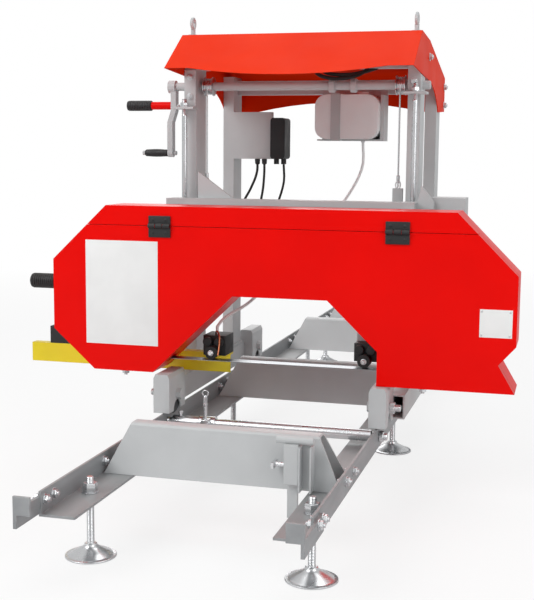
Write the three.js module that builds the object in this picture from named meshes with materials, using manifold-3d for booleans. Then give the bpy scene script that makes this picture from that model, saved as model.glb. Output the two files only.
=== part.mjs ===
// Portable band sawmill: a saw head with two band wheels that rides up guide rods
// on a wheeled carriage, which rolls along a log track on levelling feet.
// Millimetres. X runs across the track, Y along it away from the cover, Z up from the floor.
import * as THREE from "three";
import { mergeVertices } from "three/addons/utils/BufferGeometryUtils.js";
import Module from "manifold-3d";

const wasm = await Module();
wasm.setup();

// Values that several pieces use
const clearance = 0.3; // gap between pieces that touch
const overrun = 30; // how far a cut runs past the face it opens
const slack = 1; // running gap beside a piece that slides or turns
const bite = 1; // how far joined pieces run into each other
const drain = 5; // radius of the drain hole in each closed tube
const facets = { nut: 6, cord: 8, rod: 10, tube: 12, disc: 16, wheel: 24, band: 40, fold: 3 };

// Track
const rail = { halfGauge: 270, height: 50, width: 75, wall: 5, base: 129, front: -685 };
const bunk = {
  frontInset: 338, pitch: 818, rearInset: 281, frontCount: 3, rearCount: 2,
  baseDepth: 92, crownDepth: 46, height: 110, sheet: 4, lip: 20, fold: 12, halfBase: 262, halfCrown: 208,
};
const foot = {
  inset: 155, fromFace: 37, rod: 8, rodTop: 174, disc: 53, rim: 4, rimWidth: 7, dome: 13,
  neck: 13, neckTop: 27, nutAcross: 13.5, nutHeight: 12, hole: 8.8,
};
const splice = { length: 240, height: 34, plate: 6, slit: 1.5 };
const stop = { back: 62, front: 92, height: 34, base: 134, plate: 6, tabWidth: 34, tabTop: 196, tabBase: 160 };
const cross = { radius: 9.5, height: 156, y: 15, nutLength: 12, nutRadius: 14, tail: 8 };

// Log dog on the cross rod, and log clamp at the front bunk
const dog = {
  tube: 16, left: -252, right: -138, block: 20, blockDepth: 20, pinX: -160, pin: 5,
  pinBottom: 136, pinTop: 246, eye: 9, eyeBar: 3,
};
const clamp = {
  channelX: 190, channelWidth: 28, channelDepth: 26, wall: 4, bottom: 136, top: 232,
  sliderWidth: 30, sliderTop: 236, blockBottom: 152, sliderBottom: 76, tongue: 8,
  barLeft: 128, barRight: 206, bar: 8, screw: 5, screwZ: 190, wing: 17, wingPlate: 6, stem: 20,
};

// Carriage
const wheel = { axleHeight: 222, tread: 43, flange: 50, width: 25, flangeWidth: 6, bore: 8.4, axle: 8 };
const housing = {
  front: -20, depth: 115, halfWidth: 21, bottom: 182, top: 279, chamfer: 10, chamferRun: 5, wall: 4,
  offset: 270, arch: 26, rear: 723, nut: 14, nutLength: 12, axleTail: 14,
};
const sideBeam = { width: 42, height: 60, wall: 4, base: 182 };
const post = {
  offset: 297, width: 32, depth: 80, wall: 3, frontY: 280, rearY: 620, frontTop: 1090, rearTop: 1046,
  foot: 8, footEdge: 4,
};
const topBeam = { height: 40, depth: 40, wall: 3, frontZ: 1044, rearZ: 996 };
const roof = {
  sheet: 2.5, eaveY: 128, eaveZ: 1035, eaveDrop: 20, ridgeY: 268, ridgeZ: 1131,
  backY: 424, backZ: 1121, tailY: 787, tailZ: 1047, skirtZ: 950, archRise: 28,
  gableY: 640, gableLow: 943, arch: 72, archY: 340, archZ: 1022, archShare: 0.8,
};
const eye = { ring: 13, bar: 4.5, shank: 6, ringZ: 1163, y: 300, washer: 14, washerHeight: 4 };
const guide = {
  x: 304, y: 250, rod: 7, leftTab: 938, rightTab: 974, tab: 6, width: 58, depth: 44, plateHeight: 104,
  nut: 11, nutHeight: 11, tail: 9,
};
const winch = {
  y: 320, z: 1000, radius: 11, bore: 11.6, left: -372, right: 333, drumX: 258, drum: 17, drumLength: 26,
  flange: 25, flangeWidth: 3, clampX: [78, 135], clampWidth: 16, clampRadius: 18,
};
const crank = {
  x: -362, hub: 17, hubLength: 20, throw: 177, width: 22, depth: 15, bend: 10, bendTop: 64, bendEnd: 95,
  spindle: 6, gripRadius: 9.5, gripEnd: 8, gripLength: 66,
};
const lock = { drop: 50, bar: 10.5, grip: 14, barLength: 58, gripLength: 70, pin: 4, pinReach: 22 };
const rope = { radius: 2.2 };
const tank = {
  left: -20, right: 161, front: 548, depth: 100, bottom: 866, top: 990, round: 32, neck: 17, neckHeight: 9,
  outletX: 110, outlet: 6, outletLength: 8,
};
const tankBand = { x: 26, width: 27, plate: 2.5, shelf: 4, shelfEdge: 10 };
const control = {
  plateRight: -166, plateDepth: 24, bottom: 808, top: 944, boxRight: -122, round: 9,
  boxFront: 606, boxDepth: 66, boxTop: 927, gland: 8, glandLength: 15, glandShares: [0.25, 0.75],
};
const knob = { radius: 15, length: 16, stem: 4, stemDepth: 24, lobe: 5, z: 903 };
const hose = {
  radius: 4, steps: 40, endY: 108, endRise: 386,
  way: [[110, 598, 790], [70, 530, 690], [-30, 370, 560], [-110, 220, 440], [-154, 140, 406]],
};
const lead = {
  radius: 3.5, steps: 36, clampX: -200, clampY: 165, clampTop: 520, clampWidth: 26, clampHeight: 20, endRise: 545,
  way: [[-132, 639, 740], [-150, 560, 640], [-180, 380, 580], [-198, 230, 565]],
};

// Saw head
const cover = {
  left: -567, right: 583, depth: 120, sheet: 2, flange: 24, gap: 2, top: 694, seam: 646, topLeft: -423, topRight: 442,
  leftShoulder: 556, rightShoulder: 552, bottom: 280, leftFoot: 379, lobeLeft: -457, lobeRight: -300,
  throatTop: 479, throatLeft: -94, throatRight: 141, throatEdge: 263, throatFoot: 362,
  notchTop: 390, notchIn: 544, notchFoot: 346,
};
const band = {
  radius: 170, z: 481, y: 44, width: 32, idlerX: -366, driveX: 394, rim: 12, web: 6, hub: 30,
  hubLength: 44, shaft: 12, holes: 5, hole: 27, holeCircle: 96,
};
const blade = { thickness: 1.2, overhang: 1, gap: 0.6, slot: 8, slotSide: 6 };
const headPlate = {
  sheet: 6, top: 688, topLeft: -410, topRight: 425, shoulder: 650, legLeft: -450, legInLeft: -290,
  legInRight: 292, legRight: 476, legFoot: 400, bridge: 500,
};
const headBeam = { front: 150, depth: 50, top: 708, height: 50, left: -262, right: 322, wall: 3, spacer: 24 };
const sleeve = { block: 30, front: 222, depth: 54, bottom: 560, top: 700 };
const gusset = {
  plate: 7, outer: -249, inner: -154, top: 776, rim: 13, rightFoot: 316, rightLow: 690,
  rightInner: 330, rightOuter: 362, rightTop: 748,
};
const lug = { width: 26, plate: 12, arm: 13, height: 26, top: 738 };
const motor = {
  x: 394, z: 590, radius: 72, length: 200, flange: 82, flangeWidth: 10, shaft: 11,
  boxWidth: 84, boxDepth: 88, boxTop: 718, boxInset: 26, cap: 66, capLength: 24,
};
const pulley = { motorRadius: 34, drivenRadius: 60, width: 22, y: 152, gap: 0.4 };
const belt = { thickness: 8, width: 14 };
const guard = { depth: 82, wall: 2.5, margin: 18, hole: 30 };
const carrier = { width: 90, height: 110, plate: 16, slot: 26, slotRise: 14 };
const tension = {
  radius: 8, y: 146, knob: 20, knobLeft: -702, knobRight: -618, block: 32, blockWidth: 30, waist: 14, engaged: 30,
};
const arm = {
  left: -694, right: -137, width: 26, bottom: 266, height: 50, wall: 5, y: 126, boxLeft: -430, boxRight: -340, boxWall: 6,
};
const armGrip = { left: -640, right: -578, height: 46, depth: 34 };
const bladeGuide = { x: -166, rightX: 222, width: 58, front: 84, top: 366, bottom: 322, roller: 16, rollerLength: 28, pin: 4 };
const hinge = { left: -280, right: 306, width: 56, rise: 24, fall: 28, plate: 4, knuckle: 5.5, pin: 2.5, bore: 2.8, offset: 6 };
const latch = { left: -377, right: 372, radius: 11, height: 12, stem: 4, head: 7, headHeight: 3, bore: 4.4 };

// Sizes worked out from those above
const railTop = rail.base + rail.height;
const flangeTop = rail.base + rail.wall;
const frontLength = bunk.frontInset + (bunk.frontCount - 1) * bunk.pitch + bunk.rearInset;
const rearLength = bunk.frontInset + (bunk.rearCount - 1) * bunk.pitch + bunk.rearInset;
const trackJoint = rail.front + frontLength;
const trackEnd = trackJoint + rearLength;
const bunkPlaces = [
  ...Array.from({ length: bunk.frontCount }, (_, i) => rail.front + bunk.frontInset + i * bunk.pitch),
  ...Array.from({ length: bunk.rearCount }, (_, i) => trackJoint + bunk.frontInset + i * bunk.pitch),
];
const footX = rail.halfGauge - foot.fromFace;
const footPlaces = [
  rail.front + foot.inset, bunkPlaces[1], trackJoint - foot.inset, trackJoint + foot.inset, trackEnd - foot.inset,
];
const sides = { left: -1, right: 1 };
const wheelPlaces = { front: housing.front + housing.depth / 2, rear: housing.rear + housing.depth / 2 };
const beamTop = sideBeam.base + sideBeam.height;
const postBase = beamTop + clearance;
const plateFront = cover.depth + clearance;
const plateBack = plateFront + headPlate.sheet;
const bladeFront = band.y - blade.overhang;
const bladeBack = band.y + band.width + blade.overhang;
const bladeRadius = band.radius + blade.gap;
const bladeBottom = band.z - bladeRadius;
const roofSlope = (roof.ridgeZ - roof.eaveZ) / (roof.ridgeY - roof.eaveY);
const roofHalf = post.offset + post.width / 2 + clearance + roof.sheet;

// Finishes
const finish = (color, roughness, metalness) => new THREE.MeshStandardMaterial({ color, roughness, metalness });
const redPaint = finish(0xdf1208, 0.3, 0.1);
const roofPaint = finish(0xf0320e, 0.35, 0.1);
const greyPowder = finish(0xb9bbbc, 0.5, 0.2);
const zinc = finish(0xc4c6c8, 0.35, 0.9);
const darkSteel = finish(0x6a6c6e, 0.55, 0.7);
const blackPlastic = finish(0x1c1c1e, 0.6, 0);
const yellowPaint = finish(0xe3cf1a, 0.4, 0.1);
const whitePlastic = finish(0xe2e4e4, 0.4, 0);
const castIron = finish(0x55585a, 0.6, 0.6);
const bladeSteel = finish(0x9a9ea2, 0.3, 1);
const rubber = finish(0x222222, 0.85, 0);

// A closed solid from a three.js geometry, with its faces turned out
function toSolid(geometry) {
  const bare = geometry.index ? geometry.toNonIndexed() : geometry.clone();
  bare.deleteAttribute("normal");
  bare.deleteAttribute("uv");
  const merged = mergeVertices(bare);
  const points = merged.attributes.position.array;
  const faces = [];
  const corner = (index) => new THREE.Vector3().fromArray(points, 3 * index);
  let volume = 0;
  for (let i = 0; i < merged.index.count; i += 3) {
    const [p, q, r] = [0, 1, 2].map((k) => merged.index.getX(i + k));
    if (p === q || q === r || r === p) continue;
    faces.push(p, q, r);
    volume += corner(p).dot(corner(q).cross(corner(r)));
  }
  if (volume < 0) {
    for (let i = 0; i < faces.length; i += 3) [faces[i], faces[i + 1]] = [faces[i + 1], faces[i]];
  }
  return new wasm.Manifold(new wasm.Mesh({
    numProp: 3, vertProperties: new Float32Array(points), triVerts: new Uint32Array(faces),
  }));
}

const join = (...solids) => solids.flat(2).reduce((whole, part) => whole.add(part));
const cut = (solid, ...tools) => tools.flat(2).reduce((rest, tool) => rest.subtract(tool), solid);

// A box between two corners, whose ends may be given in either order
function block(x, y, z) {
  const size = [x, y, z].map(([a, b]) => Math.abs(b - a));
  const middle = [x, y, z].map(([a, b]) => (a + b) / 2);
  return toSolid(new THREE.BoxGeometry(...size).translate(...middle));
}

function alongAxis(geometry, axis) {
  if (axis === "x") geometry.rotateZ(-Math.PI / 2);
  if (axis === "z") geometry.rotateX(Math.PI / 2);
  return geometry;
}

// A centre is (y, z) for the x axis, (x, z) for the y axis and (x, y) for the z axis
const placeOn = (axis, place, [first, second]) => ({
  x: [place, first, second], y: [first, place, second], z: [first, second, place],
}[axis]);

function rod(axis, radius, [from, to], centre, count = facets.rod) {
  const body = alongAxis(new THREE.CylinderGeometry(radius, radius, Math.abs(to - from), count), axis);
  return toSolid(body.translate(...placeOn(axis, (from + to) / 2, centre)));
}

// A turned solid from a list of (radius, place along the axis)
function turned(axis, profile, centre, count = facets.wheel) {
  const outline = profile.map(([radius, place]) => new THREE.Vector2(radius, place));
  if (profile[0][0] > 0) outline.push(outline[0].clone());
  const body = alongAxis(new THREE.LatheGeometry(outline, count), axis);
  return toSolid(body.translate(...placeOn(axis, 0, centre)));
}

function outlined(points) {
  const shape = new THREE.Shape();
  points.forEach(([u, v], i) => (i ? shape.lineTo(u, v) : shape.moveTo(u, v)));
  shape.closePath();
  return shape;
}

// A slab of an outline in the xz, yz or xy plane, between two places across it
function slab(shape, plane, ends, curveSegments = facets.wheel) {
  const [from, to] = [Math.min(...ends), Math.max(...ends)];
  const body = new THREE.ExtrudeGeometry(shape, { depth: to - from, bevelEnabled: false, curveSegments });
  const [across, up, through] = [new THREE.Vector3(0, 1, 0), new THREE.Vector3(0, 0, 1), new THREE.Vector3(1, 0, 0)];
  if (plane === "xz") body.rotateX(Math.PI / 2).translate(0, to, 0);
  if (plane === "xy") body.translate(0, 0, from);
  if (plane === "yz") body.applyMatrix4(new THREE.Matrix4().makeBasis(across, up, through)).translate(from, 0, 0);
  return toSolid(body);
}

const plate = (points, plane, ends) => slab(outlined(points), plane, ends);

function roundedRect([u0, u1], [v0, v1], radius) {
  const shape = new THREE.Shape();
  const corners = [[u1, v0, -1, 1], [u1, v1, -1, -1], [u0, v1, 1, -1], [u0, v0, 1, 1]];
  corners.forEach(([u, v, inU, inV], i) => {
    shape.absarc(u + inU * radius, v + inV * radius, radius, (i - 1) * Math.PI / 2, i * Math.PI / 2);
  });
  shape.closePath();
  return shape;
}

// A loop round two circles, as a belt or a band lies on its wheels
function loopShape([x1, z1], r1, [x2, z2], r2) {
  const heading = Math.atan2(z2 - z1, x2 - x1);
  const lean = Math.acos((r1 - r2) / Math.hypot(x2 - x1, z2 - z1));
  const shape = new THREE.Shape();
  shape.absarc(x1, z1, r1, heading + lean, heading - lean + 2 * Math.PI);
  shape.absarc(x2, z2, r2, heading - lean, heading + lean);
  shape.closePath();
  return shape;
}

// A round cord along a list of points
function cordAlong(points, radius, steps) {
  const path = new THREE.CatmullRomCurve3(points.map((p) => new THREE.Vector3(...p)), false, "centripetal");
  const turns = Array.from({ length: facets.cord }, (_, i) => (2 * Math.PI * i) / facets.cord);
  const section = outlined(turns.map((turn) => [radius * Math.cos(turn), radius * Math.sin(turn)]));
  return toSolid(new THREE.ExtrudeGeometry(section, { steps, extrudePath: path, bevelEnabled: false }));
}

// A box tube, open at both ends of one axis
function boxTube(x, y, z, wall, axis) {
  const inside = (range, name) => {
    const edge = axis === name ? -overrun : wall;
    return [Math.min(...range) + edge, Math.max(...range) - edge];
  };
  return cut(block(x, y, z), block(inside(x, "x"), inside(y, "y"), inside(z, "z")));
}

const drainHole = (x, y, z, wall) => rod("z", drain, [z - overrun, z + wall + bite], [x, y]);

const group = new THREE.Group();

function piece(name, solid, material) {
  const { vertProperties, triVerts } = solid.getMesh();
  const geometry = new THREE.BufferGeometry();
  geometry.setAttribute("position", new THREE.BufferAttribute(new Float32Array(vertProperties), 3));
  geometry.setIndex(new THREE.BufferAttribute(new Uint32Array(triVerts), 1));
  const mesh = new THREE.Mesh(geometry, material);
  mesh.name = name;
  group.add(mesh);
}

// Rails: angle section in two lengths, held end to end by a splice plate, with a stop at each end
function trackRail(side) {
  const outer = rail.halfGauge;
  const section = [
    [outer, rail.base], [outer, railTop], [outer - rail.wall, railTop], [outer - rail.wall, flangeTop],
    [outer - rail.width, flangeTop], [outer - rail.width, rail.base],
  ].map(([x, z]) => [side * x, z]);
  const body = cut(
    plate(section, "xz", [rail.front, trackEnd]),
    block([side * (outer - rail.width - overrun), side * (outer + overrun)],
      [trackJoint - splice.slit / 2, trackJoint + splice.slit / 2], [rail.base - overrun, railTop + overrun]));
  const inner = outer - rail.wall;
  const splicePlate = block([side * (inner + bite), side * (inner - splice.plate)],
    [trackJoint - splice.length / 2, trackJoint + splice.length / 2], [flangeTop - bite, flangeTop + splice.height]);
  const stopAt = (end, way) => join(
    block([side * (outer - bite), side * (outer + stop.plate)],
      [end - way * stop.back, end + way * stop.front], [stop.base, stop.base + stop.height]),
    block([side * (outer + stop.plate), side * (outer + stop.plate - stop.tabWidth)],
      [end + way * (stop.front - stop.plate), end + way * stop.front], [stop.tabBase, stop.tabTop]));
  const footHoles = footPlaces.map((y) =>
    rod("z", foot.hole, [rail.base - overrun, flangeTop + foot.hole], [side * footX, y]));
  const crossHole = rod("x", cross.radius + slack, [side * (outer - overrun), side * (outer + overrun)],
    [cross.y, cross.height], facets.tube);
  return cut(join(body, splicePlate, stopAt(rail.front, -1), stopAt(trackEnd, 1)), footHoles, crossHole);
}
for (const [name, side] of Object.entries(sides)) piece(`${name}_rail`, trackRail(side), darkSteel);

// Bunks: folded inverted channels with sloping ends
const bunkBase = flangeTop + clearance;
function bunkOutline(inset) {
  const half = bunk.baseDepth / 2 - inset;
  const crown = bunk.crownDepth / 2 - inset;
  const top = bunkBase + bunk.height - inset;
  const shape = new THREE.Shape();
  shape.moveTo(-half, bunkBase + inset);
  shape.lineTo(-crown, top - bunk.fold);
  shape.quadraticCurveTo(-crown, top, -crown + bunk.fold, top);
  shape.lineTo(crown - bunk.fold, top);
  shape.quadraticCurveTo(crown, top, crown, top - bunk.fold);
  shape.lineTo(half, bunkBase + inset);
  return shape;
}
function logBunk() {
  const reach = bunk.halfBase + overrun;
  const mouth = bunk.baseDepth / 2 - bunk.sheet - bunk.lip;
  const slope = (bunk.halfBase - bunk.halfCrown) * overrun / bunk.height;
  const ends = Object.values(sides).map((side) => plate([
    [side * (bunk.halfBase + slope), bunkBase - overrun], [side * (bunk.halfCrown - slope), bunkBase + bunk.height + overrun],
    [side * (reach + overrun), bunkBase + bunk.height + overrun], [side * (reach + overrun), bunkBase - overrun],
  ], "xz", [-bunk.baseDepth, bunk.baseDepth]));
  return cut(
    slab(bunkOutline(0), "yz", [-reach, reach], facets.fold),
    slab(bunkOutline(bunk.sheet), "yz", [-reach - overrun, reach + overrun], facets.fold),
    block([-reach - overrun, reach + overrun], [-mouth, mouth], [bunkBase - overrun, bunkBase + bunk.sheet + bite]),
    ends);
}

// Log clamp: a channel welded to the front bunk, a post that slides beside it and its screw
const clampBack = bunkPlaces[0] - bunk.baseDepth / 2;
const clampY = [clampBack - clamp.channelDepth, clampBack];
const clampMiddle = (clampY[0] + clampY[1]) / 2;
const channelX = [clamp.channelX - clamp.channelWidth / 2, clamp.channelX + clamp.channelWidth / 2];
const clampChannel = cut(
  block(channelX, [clampY[0], clampY[1] + bunk.sheet - bite], [clamp.bottom, clamp.top]),
  block([channelX[0] + clamp.wall, channelX[1] - clamp.wall], [clampY[0] - overrun, clampY[1] - clamp.wall],
    [clamp.bottom - overrun, clamp.top + overrun]));
bunkPlaces.forEach((y, i) => {
  const body = logBunk().translate([0, y, 0]);
  piece(`log_bunk_${i + 1}`, i ? body : join(body, clampChannel), greyPowder);
});
const sliderX = [channelX[0] - clearance - clamp.sliderWidth, channelX[0] - clearance];
const sliderBack = clampBack - clearance;
const screwHole = rod("x", clamp.screw + clearance, [sliderX[0] - overrun, sliderX[1] + overrun], [clampMiddle, clamp.screwZ]);
piece("clamp_slider", cut(
  join(
    block(sliderX, [clampY[0], sliderBack], [clamp.blockBottom, clamp.sliderTop]),
    block([sliderX[0] + clamp.wall, sliderX[1] - clamp.wall], [sliderBack - clamp.tongue, sliderBack],
      [clamp.sliderBottom, clamp.sliderTop - bite]),
    rod("x", clamp.bar, [clamp.barLeft, clamp.barRight], [clampMiddle, clamp.sliderTop + clamp.bar - bite], facets.tube)),
  screwHole), zinc);
const screwEnd = sliderX[0] - clamp.stem;
piece("clamp_screw", join(
  rod("x", clamp.screw, [screwEnd - bite, sliderX[1] - clearance], [clampMiddle, clamp.screwZ]),
  block([screwEnd - clamp.wingPlate, screwEnd], [clampMiddle - clamp.wing, clampMiddle + clamp.wing],
    [clamp.screwZ - clamp.wingPlate, clamp.screwZ + clamp.wingPlate])), zinc);

// Levelling feet: a pressed disc on a threaded rod, with a nut above and below the rail
function levellingFoot(x, y) {
  const nut = (base) => rod("z", foot.nutAcross, [base, base + foot.nutHeight], [x, y], facets.nut);
  return join(
    turned("z", [
      [0, 0], [foot.disc, 0], [foot.disc, foot.rim], [foot.disc - foot.rimWidth, foot.rim],
      [foot.disc / 2, foot.dome], [foot.neck, foot.dome + foot.rim], [foot.neck, foot.neckTop], [0, foot.neckTop],
    ], [x, y], facets.disc),
    rod("z", foot.rod, [foot.dome, foot.rodTop], [x, y], facets.tube),
    nut(flangeTop + clearance), nut(rail.base - clearance - foot.nutHeight));
}
footPlaces.flatMap((y) => Object.values(sides).map((side) => [side * footX, y]))
  .forEach(([x, y], i) => piece(`foot_${i + 1}`, levellingFoot(x, y), zinc));

// Cross rod through both rails, with a nut outside each
const crossCentre = [cross.y, cross.height];
const crossEnd = rail.halfGauge + clearance + cross.nutLength;
piece("clamp_rod", join(
  rod("x", cross.radius, [-crossEnd - cross.tail, crossEnd + cross.tail], crossCentre, facets.tube),
  Object.values(sides).map((side) =>
    rod("x", cross.nutRadius, [side * (rail.halfGauge + clearance), side * crossEnd], crossCentre, facets.nut))), zinc);

// Log dog: a sleeve that slides on the cross rod, and the pin that lifts in it
const dogPinY = cross.y - dog.tube - dog.blockDepth / 4;
const dogY = [dogPinY - dog.blockDepth / 2, cross.y - cross.radius - slack];
piece("dog_sleeve", cut(
  join(
    rod("x", dog.tube, [dog.left, dog.right], crossCentre, facets.tube),
    block([dog.pinX - dog.block / 2, dog.pinX + dog.block / 2], dogY, [cross.height - dog.block / 2, cross.height + dog.block / 2])),
  rod("x", cross.radius + clearance, [dog.left - overrun, dog.right + overrun], crossCentre, facets.tube),
  rod("z", dog.pin + clearance, [cross.height - overrun, cross.height + overrun], [dog.pinX, dogPinY])), zinc);
const eyeZ = dog.pinTop - dog.eye;
piece("dog_pin", cut(
  join(
    rod("z", dog.pin, [dog.pinBottom, eyeZ], [dog.pinX, dogPinY]),
    rod("y", dog.eye, [dogPinY - dog.eyeBar, dogPinY + dog.eyeBar], [dog.pinX, eyeZ], facets.tube)),
  rod("y", dog.eye - dog.eyeBar, [dogPinY - overrun, dogPinY + overrun], [dog.pinX, eyeZ])), zinc);

// Side frames: a box beam welded between two wheel housings, with the axle bolts in them
function wheelHousing(side, y) {
  const x = side * housing.offset;
  const w = housing.halfWidth;
  const ends = [y - housing.depth / 2, y + housing.depth / 2];
  const shoulder = housing.top - housing.chamfer;
  const outline = [
    [x - w, housing.bottom], [x + w, housing.bottom], [x + w, shoulder], [x + w - housing.chamferRun, housing.top],
    [x - w + housing.chamferRun, housing.top], [x - w, shoulder],
  ];
  const hollow = cut(plate(outline, "xz", ends),
    block([x - w + housing.wall, x + w - housing.wall], [ends[0] + housing.wall, ends[1] - housing.wall],
      [housing.bottom - overrun, housing.top - housing.wall - bite]),
    rod("x", housing.arch, [x - w - overrun, x + w + overrun], [y, housing.bottom], facets.disc));
  const centre = [y, wheel.axleHeight];
  const nut = (way) => rod("x", housing.nut, [x + way * (w - bite), x + way * (w + housing.nutLength)], centre, facets.nut);
  return join(hollow, nut(side), nut(-side),
    rod("x", wheel.axle, [x - side * w, x + side * (w + housing.nutLength + housing.axleTail)], centre));
}
function sideFrame(side) {
  const x = side * post.offset;
  const middleY = (housing.front + housing.depth + housing.rear) / 2;
  const beam = boxTube([x - sideBeam.width / 2, x + sideBeam.width / 2],
    [housing.front + housing.depth - bite, housing.rear + bite], [sideBeam.base, beamTop], sideBeam.wall, "y");
  return cut(join(beam, Object.values(wheelPlaces).map((y) => wheelHousing(side, y))),
    drainHole(x, middleY, sideBeam.base, sideBeam.wall));
}
for (const [name, side] of Object.entries(sides)) piece(`${name}_side_frame`, sideFrame(side), greyPowder);

// Track wheels: a tread on the rail's upright between two flanges
function trackWheel(side, y) {
  const half = wheel.width / 2;
  const groove = rail.wall / 2 + wheel.flangeWidth / 2;
  const middle = side * (rail.halfGauge - rail.wall / 2);
  const tread = wheel.tread - clearance;
  return turned("x", [
    [wheel.bore, -half], [wheel.flange, -groove - wheel.flangeWidth], [wheel.flange, -groove - slack], [tread, -groove],
    [tread, groove], [wheel.flange, groove + slack], [wheel.flange, groove + wheel.flangeWidth], [wheel.bore, half],
  ].map(([radius, place]) => [radius, place + middle]), [y, wheel.axleHeight]);
}
for (const [end, y] of Object.entries(wheelPlaces)) {
  for (const [name, side] of Object.entries(sides)) piece(`${end}_${name}_wheel`, trackWheel(side, y), castIron);
}

// Portals: two posts on foot plates, welded to a cross beam
function portal(y, top, beamZ) {
  const half = post.width / 2;
  const inner = post.offset - half + bite;
  const posts = Object.values(sides).map((side) => join(
    boxTube([side * post.offset - half, side * post.offset + half], [y, y + post.depth], [postBase, top], post.wall, "z"),
    block([side * post.offset - half - post.footEdge, side * post.offset + half + post.footEdge],
      [y - post.foot, y + post.depth + post.foot], [postBase, postBase + post.foot])));
  const beam = boxTube([-inner, inner], [y + post.depth - topBeam.depth, y + post.depth],
    [beamZ, beamZ + topBeam.height], topBeam.wall, "x");
  return cut(join(posts, beam), drainHole(0, y + post.depth - topBeam.depth / 2, beamZ, topBeam.wall));
}

// Angle bracket on a post's front, whose tab holds the top of a guide rod
function guideBracket(side, z) {
  const x = side * post.offset;
  const outer = side * (guide.x + guide.width / 2);
  const tab = block([outer - side * guide.width, outer], [post.frontY - guide.depth, post.frontY], [z, z + guide.tab]);
  const back = block([x - post.width / 2, x + post.width / 2],
    [post.frontY - guide.tab, post.frontY + bite], [z, z + guide.plateHeight]);
  return cut(join(tab, back), rod("z", guide.rod + clearance, [z - overrun, z + overrun], [side * guide.x, guide.y], facets.tube));
}

// Lifting eye: a ring on a shank that rises from the post's cap through the roof
const eyeSeat = roof.ridgeZ - (roof.ridgeZ - roof.backZ) * (eye.y - eye.washer - roof.ridgeY) / (roof.backY - roof.ridgeY);
function liftingEye(side) {
  const x = side * post.offset;
  const half = post.width / 2 - bite;
  const ring = new THREE.TorusGeometry(eye.ring, eye.bar, facets.cord, facets.disc);
  return join(
    block([x - half, x + half], [post.frontY + bite, post.frontY + post.depth - bite], [post.frontTop - 2 * post.wall, post.frontTop]),
    toSolid(ring.rotateY(Math.PI / 2).translate(x, eye.y, eye.ringZ)),
    rod("z", eye.shank, [post.frontTop - post.wall, eye.ringZ - eye.ring], [x, eye.y]),
    rod("z", eye.washer, [eyeSeat + clearance, eyeSeat + clearance + eye.washerHeight], [x, eye.y], facets.tube));
}
const winchCentre = [winch.y, winch.z];
const shaftHoles = Object.values(sides).map((side) =>
  rod("x", winch.bore, [side * (post.offset - overrun), side * (post.offset + overrun)], winchCentre, facets.tube));
piece("front_portal", cut(
  join(portal(post.frontY, post.frontTop, topBeam.frontZ), guideBracket(sides.left, guide.leftTab),
    guideBracket(sides.right, guide.rightTab), liftingEye(sides.left), liftingEye(sides.right)),
  shaftHoles), greyPowder);

// The rear portal also carries the tank's shelf and strap, and the plate of the control box
const beamFront = post.rearY + post.depth - topBeam.depth;
const tankBack = tank.front + tank.depth;
const tankMiddle = tank.front + tank.depth / 2;
function tankCarrier() {
  const hangX = [tank.right + clearance, tank.right + clearance + tankBand.shelfEdge];
  const shelfZ = [tank.bottom - clearance - tankBand.shelf, tank.bottom - clearance];
  const backY = [tankBack + clearance, tankBack + clearance + tankBand.shelf];
  const strapX = [tankBand.x, tankBand.x + tankBand.width];
  const strapFront = tank.front - clearance - tankBand.plate;
  const strapTop = tank.top + clearance + tankBand.plate;
  const backTop = topBeam.rearZ + topBeam.height / 2;
  return join(
    block([tank.left, hangX[1]], [tank.front + tank.round, backY[1]], shelfZ),
    block([tank.left, hangX[1]], backY, [shelfZ[0], backTop]),
    block(strapX, [backY[0], beamFront + bite], [topBeam.rearZ, backTop]),
    block(hangX, [tank.front + tank.round, backY[1]], [shelfZ[0], tank.top]),
    block(strapX, [strapFront, tank.front - clearance], [shelfZ[0], strapTop]),
    block(strapX, [strapFront, backY[0] + bite], [strapTop - tankBand.plate, strapTop]),
    block(strapX, [strapFront, tank.front + tank.round + bite], shelfZ));
}
const controlPlate = block([-post.offset + post.width / 2 - bite, control.plateRight],
  [post.rearY, post.rearY + control.plateDepth], [control.bottom, control.top]);
const outletCentre = [tank.outletX, tankMiddle];
piece("rear_portal", cut(
  join(portal(post.rearY, post.rearTop, topBeam.rearZ), tankCarrier(), controlPlate),
  rod("z", tank.outlet + slack, [tank.bottom - overrun, tank.bottom], outletCentre)), greyPowder);

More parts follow.
